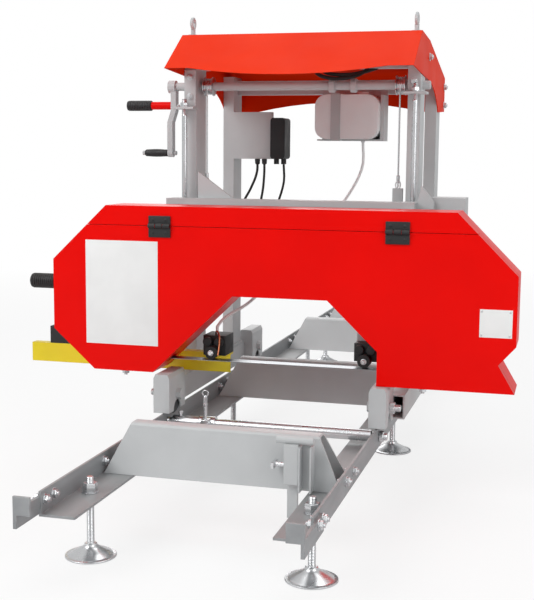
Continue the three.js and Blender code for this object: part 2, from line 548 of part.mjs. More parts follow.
// Roof: a folded sheet with two gables, a bowed front eave and an arched skirt at the back
function roofSheet() {
  const t = roof.sheet;
  const out = roofHalf;
  const frontY = roof.eaveY - roof.eaveDrop / roofSlope;
  const frontZ = roof.eaveZ - roof.eaveDrop;
  const profile = [
    [frontY, frontZ], [roof.ridgeY, roof.ridgeZ], [roof.backY, roof.backZ], [roof.tailY, roof.tailZ], [roof.tailY, roof.skirtZ],
    [roof.tailY - t, roof.skirtZ], [roof.tailY - t, roof.tailZ - t], [roof.backY, roof.backZ - t], [roof.ridgeY + t, roof.ridgeZ - t],
    [frontY + t / roofSlope, frontZ],
  ];
  const flat = out * roof.archShare;
  const arch = (base, rise) => {
    const shape = new THREE.Shape();
    const low = base - overrun - roof.archRise;
    shape.moveTo(-out - overrun, low);
    shape.lineTo(-out - overrun, base);
    shape.lineTo(-flat, base);
    shape.quadraticCurveTo(0, base + rise, flat, base);
    shape.lineTo(out + overrun, base);
    shape.lineTo(out + overrun, low);
    return shape;
  };
  const gable = new THREE.Shape();
  gable.moveTo(roof.eaveY + t, roof.eaveZ);
  gable.lineTo(roof.ridgeY + bite, roof.ridgeZ - bite);
  gable.lineTo(roof.backY, roof.backZ - bite);
  gable.lineTo(roof.tailY - bite, roof.tailZ - bite);
  gable.lineTo(roof.tailY - bite, roof.skirtZ);
  gable.lineTo(roof.gableY, roof.gableLow);
  gable.quadraticCurveTo(roof.gableY - roof.arch, roof.archZ, roof.archY, roof.archZ);
  const gables = Object.values(sides).map((side) => slab(gable, "yz", [side * (out - t), side * out], facets.cord));
  const shankHoles = Object.values(sides).map((side) =>
    rod("z", eye.shank + slack, [roof.ridgeZ - overrun, roof.ridgeZ + overrun], [side * post.offset, eye.y]));
  return cut(
    join(
      cut(plate(profile, "yz", [-out, out]),
        slab(arch(roof.eaveZ, -2 * roof.eaveDrop), "xz", [frontY - overrun, roof.eaveY + overrun], facets.rod),
        slab(arch(roof.skirtZ, 2 * roof.archRise), "xz", [roof.tailY - overrun, roof.tailY + overrun], facets.rod)),
      gables),
    shankHoles);
}
piece("roof", roofSheet(), roofPaint);

// Guide rods stand on the side frames and pass through the brackets' tabs
for (const [name, side] of Object.entries(sides)) {
  const tabTop = (side < 0 ? guide.leftTab : guide.rightTab) + guide.tab + clearance;
  const centre = [side * guide.x, guide.y];
  piece(`${name}_guide_rod`, join(
    rod("z", guide.rod, [postBase, tabTop + guide.nutHeight + guide.tail], centre, facets.tube),
    rod("z", guide.nut, [tabTop, tabTop + guide.nutHeight], centre, facets.nut)), zinc);
}

// Winch: a shaft through both front posts with a rope drum beside each and two rope clamps
const ropeY = winch.y - winch.drum - rope.radius - clearance;
function ropeDrum(side) {
  const half = winch.drumLength / 2;
  const x = side * winch.drumX;
  return join(
    rod("x", winch.drum, [x - half, x + half], winchCentre, facets.disc),
    [-1, 1].map((end) => rod("x", winch.flange, [x + end * half, x + end * (half - winch.flangeWidth)], winchCentre, facets.disc)));
}
piece("winch_shaft", join(
  rod("x", winch.radius, [winch.left, winch.right], winchCentre, facets.tube),
  ropeDrum(sides.left), ropeDrum(sides.right),
  winch.clampX.map((x) =>
    rod("x", winch.clampRadius, [x - winch.clampWidth / 2, x + winch.clampWidth / 2], winchCentre, facets.nut))), zinc);

// Crank: a forged arm with an S bend on the shaft's end, its grip and the lock pin beside it
const hubX = [crank.x - crank.hubLength / 2, crank.x + crank.hubLength / 2];
const armHigh = crank.x + crank.bend / 2;
const armLow = crank.x - crank.bend / 2;
const gripCentre = [winch.y, winch.z - crank.throw];
const lockCentre = [winch.y, winch.z - lock.drop];
const spindleEnds = [armLow - crank.depth / 2 - crank.gripLength - crank.gripEnd, armLow + crank.depth / 2 + crank.gripEnd];
function crankArm() {
  const half = crank.depth / 2;
  const bendTop = winch.z - crank.bendTop;
  const bendEnd = winch.z - crank.bendEnd;
  const bar = plate([
    [armHigh + half, winch.z], [armHigh + half, bendTop], [armLow + half, bendEnd], [armLow + half, gripCentre[1]],
    [armLow - half, gripCentre[1]], [armLow - half, bendEnd], [armHigh - half, bendTop], [armHigh - half, winch.z],
  ], "xz", [winch.y - crank.width / 2, winch.y + crank.width / 2]);
  return cut(
    join(bar,
      rod("x", crank.hub, hubX, winchCentre, facets.disc),
      rod("x", crank.width / 2, [armLow - half, armLow + half], gripCentre, facets.disc),
      rod("x", crank.spindle, spindleEnds, gripCentre)),
    rod("x", lock.pin + clearance, [crank.x - overrun, crank.x + overrun], lockCentre),
    rod("x", winch.radius + clearance, [hubX[0] - overrun, hubX[1] + overrun], winchCentre, facets.tube));
}
piece("crank_arm", crankArm(), castIron);
const gripX = [armLow - crank.depth / 2 - slack - crank.gripLength, armLow - crank.depth / 2 - slack];
piece("crank_grip", turned("x", [
  [crank.spindle + clearance, gripX[0]], [crank.gripRadius, gripX[0]], [crank.gripRadius + slack, (gripX[0] + gripX[1]) / 2],
  [crank.gripRadius, gripX[1]], [crank.spindle + clearance, gripX[1]],
], gripCentre, facets.tube), blackPlastic);
const lockFace = armHigh - crank.depth / 2 - clearance;
piece("lock_handle", join(
  rod("x", lock.pin, [lockFace + lock.pinReach, lockFace - bite], lockCentre),
  rod("x", lock.bar, [lockFace, lockFace - lock.barLength], lockCentre, facets.disc),
  rod("x", lock.grip, [lockFace - lock.barLength + bite, lockFace - lock.barLength - lock.gripLength], lockCentre, facets.disc)), redPaint);

// Lift ropes hang from the drums to the lugs on the head
for (const [name, side] of Object.entries(sides)) {
  piece(`${name}_rope`, rod("z", rope.radius, [lug.top + clearance, winch.z], [side * winch.drumX, ropeY], facets.cord), zinc);
}

// Coolant tank with a filler neck and an outlet below
const neckX = (tankBand.x + tankBand.width + tank.right) / 2;
piece("tank", join(
  slab(roundedRect([tank.left, tank.right], [tank.bottom, tank.top], tank.round), "xz", [tank.front, tankBack], facets.fold),
  rod("z", tank.neck, [tank.top - bite, tank.top + tank.neckHeight], [neckX, tankMiddle], facets.disc),
  rod("z", tank.outlet, [tank.bottom - tank.outletLength, tank.bottom + bite], outletCentre)), whitePlastic);

// Control box on its plate, with cable glands below and a rotary switch on its back
const boxX = [control.plateRight + clearance, control.boxRight];
const boxY = [control.boxFront, control.boxFront + control.boxDepth];
const glandX = control.glandShares.map((share) => boxX[0] + share * (boxX[1] - boxX[0]));
const glandY = (boxY[0] + boxY[1]) / 2;
const knobCentre = [(boxX[0] + boxX[1]) / 2, knob.z];
piece("control_box", cut(
  join(
    slab(roundedRect(boxX, [control.bottom, control.boxTop], control.round), "xz", boxY, facets.fold),
    glandX.map((x) => rod("z", control.gland, [control.bottom - control.glandLength, control.bottom + bite], [x, glandY], facets.nut))),
  rod("y", knob.stem + clearance, [boxY[1] - knob.stemDepth, boxY[1] + overrun], knobCentre)), blackPlastic);
piece("switch_knob", join(
  rod("y", knob.stem, [boxY[1] - knob.stemDepth + slack, boxY[1] + knob.length / 2], knobCentre),
  rod("y", knob.radius, [boxY[1] + clearance, boxY[1] + knob.length / 2], knobCentre, facets.disc),
  block([knobCentre[0] - knob.lobe, knobCentre[0] + knob.lobe], [boxY[1] + knob.length / 2 - bite, boxY[1] + knob.length],
    [knob.z - knob.radius + slack, knob.z + knob.radius - slack])), redPaint);

// Cover outline, clockwise from the left end of its top edge
const coverPoints = [
  [cover.topLeft, cover.top], [cover.topRight, cover.top], [cover.right, cover.rightShoulder], [cover.right, cover.notchTop],
  [cover.notchIn, cover.notchFoot], [cover.right, cover.bottom], [cover.throatEdge, cover.bottom], [cover.throatEdge, cover.throatFoot],
  [cover.throatRight, cover.throatTop], [cover.throatLeft, cover.throatTop], [cover.lobeRight, cover.bottom], [cover.lobeLeft, cover.bottom],
  [cover.left, cover.leftFoot], [cover.left, cover.leftShoulder],
];

// An outline moved inwards by a distance along each edge's normal
function insetOutline(points, inset) {
  const edges = points.map((point, i) => {
    const next = points[(i + 1) % points.length];
    const [du, dv] = [next[0] - point[0], next[1] - point[1]];
    const length = Math.hypot(du, dv);
    const normal = [dv / length, -du / length];
    return { normal, reach: normal[0] * point[0] + normal[1] * point[1] + inset };
  });
  return points.map((_, i) => {
    const [a, b] = [edges[(i + points.length - 1) % points.length], edges[i]];
    const spread = a.normal[0] * b.normal[1] - a.normal[1] * b.normal[0];
    return [(a.reach * b.normal[1] - b.reach * a.normal[1]) / spread, (a.normal[0] * b.reach - b.normal[0] * a.reach) / spread];
  });
}
const coverShell = ([front, back]) => cut(plate(coverPoints, "xz", [front, back]),
  plate(insetOutline(coverPoints, cover.sheet), "xz", [front - overrun, back + overrun]));
const coverWidth = [cover.left - overrun, cover.right + overrun];
const coverDepth = [-overrun, cover.depth + overrun];
const aboveSeam = block(coverWidth, coverDepth, [cover.seam, cover.top + overrun]);

// Hinge knuckles: the casing's in the middle with its pin, the door's on either side
const hingeMiddles = [hinge.left, hinge.right];
const third = hinge.width / 3;
const knuckle = (x, halfLength, radius) =>
  rod("x", radius, [x - halfLength, x + halfLength], [-hinge.offset, cover.seam], facets.tube);
const leafX = (x) => [x - hinge.width / 2, x + hinge.width / 2];
function fixedLeaf(x) {
  const leaf = block(leafX(x), [-hinge.plate, bite], [cover.seam + slack, cover.seam + hinge.rise]);
  const clear = [-1, 1].map((end) => knuckle(x + end * third, third / 2 + slack, hinge.knuckle + slack));
  return join(cut(leaf, clear), knuckle(x, third / 2 - slack / 2, hinge.knuckle), knuckle(x, hinge.width / 2, hinge.pin));
}
function movingLeaf(x) {
  const leaf = block(leafX(x), [-hinge.plate, bite], [cover.seam - hinge.fall, cover.seam - slack]);
  const rings = [-1, 1].map((end) => knuckle(x + end * third, third / 2 - slack / 2, hinge.knuckle));
  return cut(join(cut(leaf, knuckle(x, third / 2 + slack / 2, hinge.knuckle + slack)), rings), knuckle(x, hinge.width, hinge.bore));
}
const idlerSlot = block([band.idlerX - carrier.slot, band.idlerX + carrier.slot], [0, plateBack + bite],
  [band.z - carrier.slotRise, band.z + carrier.slotRise]);
const driveCentre = [band.driveX, band.z];
const driveBore = rod("y", band.shaft + slack, [0, pulley.y], driveCentre, facets.disc);
const bladeSlot = block([cover.lobeRight, cover.throatEdge + overrun],
  [bladeFront - blade.slotSide, bladeBack + blade.slotSide], [bladeBottom - blade.slot, bladeBottom + blade.slot]);

// Fixed casing: the back, the rear part of the rim and the whole top strip
piece("casing", cut(
  join(
    cut(coverShell([cover.flange + cover.gap, cover.depth]), aboveSeam),
    plate(coverPoints, "xz", [cover.depth - cover.sheet, cover.depth]),
    coverShell([0, cover.depth]).intersect(aboveSeam),
    plate(coverPoints, "xz", [0, cover.sheet]).intersect(aboveSeam),
    hingeMiddles.map(fixedLeaf)),
  idlerSlot, driveBore, bladeSlot), redPaint);

// Door: the front sheet below the seam, with its edge turned back
const latches = { left: latch.left, right: latch.right };
const latchY = cover.flange / 2;
const doorTop = cover.seam - cover.gap / 2;
piece("cover_door", cut(
  join(
    cut(join(coverShell([0, cover.flange]), plate(coverPoints, "xz", [0, cover.sheet])),
      block(coverWidth, coverDepth, [doorTop, cover.top + overrun])),
    block([cover.topLeft, cover.topRight], [0, cover.flange], [doorTop - cover.sheet, doorTop]),
    hingeMiddles.map(movingLeaf)),
  Object.values(latches).map((x) => rod("z", latch.bore, [cover.bottom - overrun, cover.bottom + overrun], [x, latchY]))), redPaint);
for (const [name, x] of Object.entries(latches)) {
  const headBase = cover.bottom + cover.sheet + clearance;
  piece(`${name}_latch`, join(
    rod("z", latch.radius, [cover.bottom - clearance - latch.height, cover.bottom - clearance], [x, latchY], facets.disc),
    rod("z", latch.stem, [cover.bottom - latch.height, headBase + latch.headHeight], [x, latchY]),
    rod("z", latch.head, [headBase, headBase + latch.headHeight], [x, latchY], facets.nut)), blackPlastic);
}

// Head frame: a plate behind the casing, a beam, and the sleeves that ride on the guide rods
const beamZ = [headBeam.top - headBeam.height, headBeam.top];
const beamY = [headBeam.front, headBeam.front + headBeam.depth];
const motorCentre = [motor.x, motor.z];
const rollerZ = bladeBottom + clearance + bladeGuide.roller;
const guideHalf = bladeGuide.width / 2;
function headSleeve(side) {
  const x = [side * guide.x - sleeve.block / 2, side * guide.x + sleeve.block / 2];
  const beamEnd = side < 0 ? headBeam.left : headBeam.right;
  const lugX = [side * (winch.drumX - lug.width / 2), side * (winch.drumX + lug.width / 2)];
  const lugY = [sleeve.front + sleeve.depth - lug.arm, ropeY + lug.plate / 2];
  const lugZ = [sleeve.top - lug.height, sleeve.top - bite];
  return join(
    block(x, [sleeve.front, sleeve.front + sleeve.depth], [sleeve.bottom, sleeve.top]),
    block(x, [beamY[0], sleeve.front + bite], beamZ),
    block([beamEnd - side * headBeam.spacer, side * guide.x], beamY, beamZ),
    block([lugX[0], side * guide.x], [lugY[0], sleeve.front + sleeve.depth], lugZ),
    block(lugX, lugY, lugZ),
    block(lugX, [ropeY - lug.plate / 2, ropeY + lug.plate / 2], [lugZ[0], lug.top]));
}
function gussets() {
  const leftY = [beamY[1] - bite, beamY[1] + gusset.plate];
  const left = (edge) => [
    [gusset.outer + edge, beamZ[0] + edge], [gusset.outer + edge, gusset.top - 2 * edge], [gusset.inner - 2 * edge, beamZ[0] + edge],
  ];
  const triangle = [[gusset.outer, beamZ[0]], [gusset.outer, gusset.top], [gusset.inner, headBeam.top], [gusset.inner, beamZ[0]]];
  const right = [
    [gusset.rightFoot, gusset.rightLow], [gusset.rightInner, gusset.rightTop],
    [gusset.rightOuter, headBeam.top], [gusset.rightOuter, gusset.rightLow],
  ];
  return [
    cut(plate(triangle, "xz", leftY), plate(left(gusset.rim), "xz", [leftY[0] + 2 * bite, leftY[1] + overrun])),
    plate(right, "xz", [sleeve.front - gusset.plate, sleeve.front + bite]),
  ];
}
function beltGuard() {
  const back = plateBack + guard.depth;
  const loop = (margin) => loopShape(motorCentre, pulley.motorRadius + margin, driveCentre, pulley.drivenRadius + margin);
  return join(
    cut(slab(loop(guard.margin), "xz", [plateBack - bite, back], facets.disc),
      slab(loop(guard.margin - guard.wall), "xz", [plateBack - overrun, back - guard.wall], facets.disc),
      rod("y", guard.hole, [back - overrun, back + overrun], motorCentre, facets.disc)),
    cut(rod("y", band.hub, [plateBack - bite, pulley.y - 2 * slack], driveCentre, facets.disc), driveBore));
}
function tensionBlock() {
  const half = tension.block / 2;
  return cut(
    block([headPlate.legLeft - tension.blockWidth, headPlate.legLeft + tension.waist], [plateFront, tension.y + half],
      [band.z - half, band.z + half]),
    rod("x", tension.radius + slack / 2, [headPlate.legLeft - 2 * overrun, headPlate.legLeft + overrun], [tension.y, band.z], facets.tube));
}
function armBox() {
  const x = [arm.boxLeft, arm.boxRight];
  return cut(
    block(x, [plateFront, arm.y + arm.width + arm.boxWall], [arm.bottom - arm.boxWall, headPlate.legFoot + bite]),
    block([x[0] - overrun, x[1] + overrun], [arm.y - slack / 2, arm.y + arm.width + slack / 2],
      [arm.bottom - slack / 2, arm.bottom + arm.height + slack / 2]));
}
const rollerPin = (x) =>
  rod("y", bladeGuide.pin, [bladeGuide.front - 2 * slack - bladeGuide.rollerLength, bladeGuide.front + bite], [x, rollerZ]);
function rightGuide() {
  const x = [bladeGuide.rightX - guideHalf, bladeGuide.rightX + guideHalf];
  return join(
    block(x, [bladeGuide.front, plateBack], [bladeGuide.bottom, bladeGuide.top]),
    rollerPin(bladeGuide.rightX),
    block(x, [plateFront, plateBack], [bladeGuide.bottom, headPlate.bridge + bite]),
    block([bladeGuide.rightX, headPlate.legInRight + bite], [plateFront, plateBack], [headPlate.legFoot, headPlate.bridge + bite]));
}
function headFrame() {
  const p = headPlate;
  const outline = [
    [p.topLeft, p.top], [p.topRight, p.top], [p.legRight, p.shoulder], [p.legRight, p.legFoot], [p.legInRight, p.legFoot],
    [p.legInRight, p.bridge], [p.legInLeft, p.bridge], [p.legInLeft, p.legFoot], [p.legLeft, p.legFoot], [p.legLeft, p.shoulder],
  ];
  const spacers = [headBeam.left, headBeam.right - headBeam.spacer].map((x) =>
    block([x, x + headBeam.spacer], [plateBack - bite, beamY[0] + bite], [beamZ[0], p.top]));
  const leadClamp = block([lead.clampX - lead.clampWidth / 2, lead.clampX + lead.clampWidth / 2],
    [plateBack - bite, lead.clampY + lead.clampWidth / 2], [lead.clampTop - lead.clampHeight, lead.clampTop]);
  const rodHoles = Object.values(sides).map((side) =>
    rod("z", guide.rod + slack / 2, [sleeve.bottom - overrun, sleeve.top + overrun], [side * guide.x, guide.y], facets.tube));
  return cut(
    join(plate(outline, "xz", [plateFront, plateBack]), boxTube([headBeam.left, headBeam.right], beamY, beamZ, headBeam.wall, "x"),
      spacers, headSleeve(sides.left), headSleeve(sides.right), gussets(), beltGuard(), tensionBlock(), armBox(), rightGuide(), leadClamp),
    idlerSlot, driveBore, rodHoles, drainHole(0, (beamY[0] + beamY[1]) / 2, beamZ[0], headBeam.wall));
}
piece("head_frame", headFrame(), greyPowder);

// Guide arm: an angle bar that slides in its box, with a grip at its outer end and the left guide
const armTop = arm.bottom + arm.height;
const armSection = [
  [arm.y, arm.bottom], [arm.y, armTop], [arm.y + arm.width, armTop], [arm.y + arm.width, armTop - arm.wall],
  [arm.y + arm.wall, armTop - arm.wall], [arm.y + arm.wall, arm.bottom],
];
piece("guide_arm", join(
  plate(armSection, "yz", [arm.left, arm.right]),
  block([armGrip.left, armGrip.right], [arm.y, arm.y + armGrip.depth], [armTop - bite, armTop + armGrip.height]),
  block([bladeGuide.x - guideHalf, bladeGuide.x + guideHalf], [bladeGuide.front, arm.y + arm.width], [armTop - bite, bladeGuide.top]),
  rollerPin(bladeGuide.x)), yellowPaint);
for (const [name, x] of [["left_guide_roller", bladeGuide.x], ["right_guide_roller", bladeGuide.rightX]]) {
  const back = bladeGuide.front - slack;
  piece(name, turned("y", [
    [bladeGuide.pin + clearance, back - bladeGuide.rollerLength], [bladeGuide.roller, back - bladeGuide.rollerLength],
    [bladeGuide.roller, back], [bladeGuide.pin + clearance, back],
  ], [x, rollerZ], facets.disc), blackPlastic);
}

// Motor: a flange on the belt guard, the body, fan cap and terminal box
const motorFront = plateBack + guard.depth + clearance;
const motorEnd = motorFront + motor.flangeWidth + motor.length;
const terminalY = motorFront + motor.boxInset;
const terminalX = [motor.x - motor.boxWidth / 2, motor.x + motor.boxWidth / 2];
piece("motor", join(
  rod("y", motor.flange, [motorFront, motorFront + motor.flangeWidth], motorCentre),
  rod("y", motor.radius, [motorFront, motorEnd], motorCentre, facets.wheel),
  rod("y", motor.cap, [motorEnd - bite, motorEnd + motor.capLength], motorCentre, facets.wheel),
  rod("y", motor.shaft, [pulley.y, motorFront + bite], motorCentre, facets.tube),
  block(terminalX, [terminalY, terminalY + motor.boxDepth], [motor.z, motor.boxTop])), castIron);

// Belt drive between the motor and the drive wheel's shaft
const pulleyY = [pulley.y, pulley.y + pulley.width];
piece("motor_pulley", cut(
  rod("y", pulley.motorRadius, pulleyY, motorCentre, facets.wheel),
  rod("y", motor.shaft + slack, [pulleyY[0] - overrun, pulleyY[1] + overrun], motorCentre, facets.tube)), castIron);
const beltY = [pulley.y + (pulley.width - belt.width) / 2, pulley.y + (pulley.width + belt.width) / 2];
const beltLoop = (out, ends) =>
  slab(loopShape(motorCentre, pulley.motorRadius + out, driveCentre, pulley.drivenRadius + out), "xz", ends);
piece("drive_belt", cut(
  beltLoop(pulley.gap + belt.thickness, beltY), beltLoop(pulley.gap, [beltY[0] - overrun, beltY[1] + overrun])), rubber);

// Band wheels: rim, web with round openings, and hub
function bandWheel(x, bore) {
  const b = band;
  const web = [b.y + (b.width - b.web) / 2, b.y + (b.width + b.web) / 2];
  const hub = [b.y + (b.width - b.hubLength) / 2, b.y + (b.width + b.hubLength) / 2];
  const inner = b.radius - b.rim;
  const body = turned("y", [
    [bore, hub[0]], [b.hub, hub[0]], [b.hub, web[0]], [inner, web[0]], [inner, b.y], [b.radius, b.y],
    [b.radius, b.y + b.width], [inner, b.y + b.width], [inner, web[1]], [b.hub, web[1]], [b.hub, hub[1]], [bore, hub[1]],
  ], [x, b.z], facets.band);
  const holes = Array.from({ length: b.holes }, (_, i) => {
    const turn = (2 * Math.PI * i) / b.holes;
    return rod("y", b.hole, [b.y - overrun, b.y + b.width + overrun],
      [x + b.holeCircle * Math.sin(turn), b.z + b.holeCircle * Math.cos(turn)], facets.tube);
  });
  return cut(body, holes);
}
piece("drive_wheel", join(
  bandWheel(band.driveX, band.shaft - bite),
  rod("y", band.shaft, [band.y - slack, pulleyY[1]], driveCentre, facets.disc),
  rod("y", pulley.drivenRadius, pulleyY, driveCentre, facets.wheel)), castIron);
piece("idler_wheel", bandWheel(band.idlerX, band.shaft + clearance), castIron);

// Idler carrier: a slide with the stub axle, on the screw of the tension handle
const carrierX = [band.idlerX - carrier.width / 2, band.idlerX + carrier.width / 2];
const carrierFront = plateBack + clearance;
const screwTip = carrierX[0] + tension.engaged;
const tensionCentre = [tension.y, band.z];
piece("idler_carrier", cut(
  join(
    block(carrierX, [carrierFront, tension.y + tension.block / 2], [band.z - tension.block / 2, band.z + tension.block / 2]),
    block(carrierX, [carrierFront, carrierFront + carrier.plate], [band.z - carrier.height / 2, band.z + carrier.height / 2]),
    rod("y", band.shaft, [band.y - slack, carrierFront + bite], [band.idlerX, band.z], facets.disc)),
  rod("x", tension.radius + slack / 2, [carrierX[0] - overrun, screwTip + clearance], tensionCentre, facets.tube)), castIron);
piece("tension_handle", join(
  rod("x", tension.radius, [tension.knobLeft + bite, screwTip], tensionCentre, facets.tube),
  turned("x", [
    [0, tension.knobLeft], [tension.waist, tension.knobLeft], [tension.knob, tension.knobLeft + tension.waist],
    [tension.knob, tension.knobRight - tension.waist], [tension.waist, tension.knobRight], [0, tension.knobRight],
  ], tensionCentre, facets.disc)), blackPlastic);

// Saw band: a thin endless strip on both wheels
const bandLoop = (radius, ends) => slab(loopShape([band.idlerX, band.z], radius, driveCentre, radius), "xz", ends);
piece("saw_blade", cut(
  bandLoop(bladeRadius + blade.thickness, [bladeFront, bladeBack]),
  bandLoop(bladeRadius, [bladeFront - overrun, bladeBack + overrun])), bladeSteel);

// Hose from the tank to the left guide, and lead from the control box to the clamp on the head
piece("tank_hose", cordAlong([
  [tank.outletX, tankMiddle, tank.bottom - tank.outletLength - clearance], ...hose.way,
  [bladeGuide.x, hose.endY, hose.endRise], [bladeGuide.x, hose.endY, bladeGuide.top + clearance],
], hose.radius, hose.steps), whitePlastic);
piece("motor_lead", cordAlong([
  [glandX[1], glandY, control.bottom - control.glandLength - clearance], ...lead.way,
  [lead.clampX, lead.clampY, lead.endRise], [lead.clampX, lead.clampY, lead.clampTop + clearance],
], lead.radius, lead.steps), rubber);

const bounds = new THREE.Box3().setFromObject(group);
const middle = bounds.getCenter(new THREE.Vector3());
group.position.set(-middle.x, -middle.y, -bounds.min.z);

export default group;
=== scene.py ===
# Portable band sawmill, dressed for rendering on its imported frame. Metres; Z is up.
import math
import bpy
from mathutils import Matrix, Vector


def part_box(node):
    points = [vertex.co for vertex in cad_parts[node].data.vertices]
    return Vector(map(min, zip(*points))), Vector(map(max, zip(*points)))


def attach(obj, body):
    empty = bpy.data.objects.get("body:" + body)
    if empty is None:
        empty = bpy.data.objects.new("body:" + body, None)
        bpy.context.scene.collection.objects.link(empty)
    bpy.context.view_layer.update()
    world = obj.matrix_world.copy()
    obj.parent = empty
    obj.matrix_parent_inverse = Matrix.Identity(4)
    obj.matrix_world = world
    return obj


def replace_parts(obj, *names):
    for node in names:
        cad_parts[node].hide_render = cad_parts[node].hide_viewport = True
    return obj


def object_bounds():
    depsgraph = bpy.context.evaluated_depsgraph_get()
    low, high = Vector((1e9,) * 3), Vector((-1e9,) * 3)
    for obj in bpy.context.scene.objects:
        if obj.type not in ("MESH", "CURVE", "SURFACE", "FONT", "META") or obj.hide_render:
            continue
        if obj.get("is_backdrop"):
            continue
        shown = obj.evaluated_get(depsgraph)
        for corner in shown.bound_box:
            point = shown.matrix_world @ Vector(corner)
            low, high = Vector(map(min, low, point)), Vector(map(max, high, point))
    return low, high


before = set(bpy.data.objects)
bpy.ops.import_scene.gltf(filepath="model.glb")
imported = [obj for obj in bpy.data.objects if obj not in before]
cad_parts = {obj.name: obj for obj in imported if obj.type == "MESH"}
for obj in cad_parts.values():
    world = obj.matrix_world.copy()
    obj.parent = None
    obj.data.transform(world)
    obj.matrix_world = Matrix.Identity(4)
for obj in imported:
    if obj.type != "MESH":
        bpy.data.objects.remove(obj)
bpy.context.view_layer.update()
bpy.ops.object.select_all(action="DESELECT")
print("frame loaded,", len(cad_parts), "nodes")


# Linear colour of an sRGB hex value
def toLinear(hexCode):
    parts = [int(hexCode[i:i + 2], 16) / 255 for i in (0, 2, 4)]
    return [c / 12.92 if c <= 0.04045 else ((c + 0.055) / 1.055) ** 2.4 for c in parts] + [1.0]


# Adds a node: a socket given another node's output is linked, any other value is set on it
def addNode(tree, kind, sockets=None, **settings):
    node = tree.nodes.new(kind)
    for key, value in settings.items():
        setattr(node, key, value)
    for key, value in (sockets or {}).items():
        if isinstance(value, bpy.types.NodeSocket):
            tree.links.new(value, node.inputs[key])
        else:
            node.inputs[key].default_value = value
    return node


# Camera where the photograph was taken, its angles in degrees but for the small roll
camera = {
    "at": (0.7535, -3.732, 0.824), "yaw": 15.235, "pitch": 7.4726, "roll": 0.00859,
    "lens": 67.03, "sensor": 36, "clip": (0.05, 60),
}


def placeCamera(c):
    yaw, pitch = math.radians(c["yaw"]), math.radians(c["pitch"])
    ahead = Vector((-math.sin(yaw) * math.cos(pitch), math.cos(yaw) * math.cos(pitch), -math.sin(pitch)))
    level = Vector((math.cos(yaw), math.sin(yaw), 0))
    up = level.cross(ahead)
    right = math.cos(c["roll"]) * level + math.sin(c["roll"]) * up
    up = -math.sin(c["roll"]) * level + math.cos(c["roll"]) * up
    bpy.ops.object.camera_add()
    cam = bpy.context.object
    cam.matrix_world = Matrix.Translation(c["at"]) @ Matrix((right, up, -ahead)).transposed().to_4x4()
    cam.data.lens, cam.data.sensor_width = c["lens"], c["sensor"]
    cam.data.clip_start, cam.data.clip_end = c["clip"]
    bpy.context.scene.camera = cam


placeCamera(camera)
print("camera placed")

# Soft studio light, a white world and a pale floor
studio = {
    "key": {"at": (-2.6, -4.2, 3.6), "size": 3.2, "power": 122},
    "fill": {"at": (3.6, -3.4, 2.2), "size": 3.4, "power": 58},
    "top": {"at": (0.2, 0.2, 4.6), "size": 4.2, "power": 68},
    "back": {"at": (-1.5, 4.5, 2.6), "size": 3.0, "power": 40},
}
lampAim = Vector((0, -0.6, 0.55))
worldSky = {"colour": "f4f5f6", "strength": 0.38, "mirrored": 0.7}
floorLook = {"colour": "f6f6f6", "rough": 0.9, "size": 40, "lift": 0.78, "fadeFrom": 2.0, "fadeTo": 4.5}
pureWhite = (1, 1, 1, 1)

for name, lamp in studio.items():
    bpy.ops.object.light_add(type="AREA", location=lamp["at"])
    light = bpy.context.object
    light.name = name + "_lamp"
    light.data.shape, light.data.size, light.data.energy = "DISK", lamp["size"], lamp["power"]
    light.rotation_euler = (lampAim - Vector(lamp["at"])).to_track_quat("-Z", "Y").to_euler()

world = bpy.data.worlds.new("studio")
bpy.context.scene.world = world
world.use_nodes = True
sky = world.node_tree
sky.nodes.clear()
rays = addNode(sky, "ShaderNodeLightPath").outputs
seen = addNode(sky, "ShaderNodeMath", {0: rays["Is Camera Ray"], 1: rays["Is Transmission Ray"]}, operation="MAXIMUM")
dim = addNode(sky, "ShaderNodeBackground", {"Color": toLinear(worldSky["colour"]), "Strength": worldSky["strength"]})
# Metal mirrors a paler room than the lamps alone would give
mirror = addNode(sky, "ShaderNodeBackground", {"Color": pureWhite, "Strength": worldSky["mirrored"]})
white = addNode(sky, "ShaderNodeBackground", {"Color": pureWhite, "Strength": 1.0})
glossy = addNode(sky, "ShaderNodeMixShader", {0: rays["Is Glossy Ray"], 1: dim.outputs[0], 2: mirror.outputs[0]})
mixed = addNode(sky, "ShaderNodeMixShader", {0: seen.outputs[0], 1: glossy.outputs[0], 2: white.outputs[0]})
addNode(sky, "ShaderNodeOutputWorld", {"Surface": mixed.outputs[0]})
bpy.context.scene.view_settings.view_transform = "Standard"
print("lights and world set")


def newMaterial(name):
    material = bpy.data.materials.new(name)
    material.use_nodes = True
    tree = material.node_tree
    tree.nodes.clear()
    shader = addNode(tree, "ShaderNodeBsdfPrincipled")
    output = addNode(tree, "ShaderNodeOutputMaterial", {"Surface": shader.outputs[0]})
    return material, tree, shader, output


# Dust and edge patch sizes are in millimetres, the depth that light soaks in is in metres
dustLook = {"colour": "c9c2b6", "size": 45, "roughens": 0.35}
scuffAndHighlightPatchSize = 14
soaked = {"radius": (0.02, 0.02, 0.02), "scale": 0.5}
constants = {"metal": "Metallic", "ior": "IOR", "gloss": "Specular IOR Level", "glow": "Subsurface Weight"}
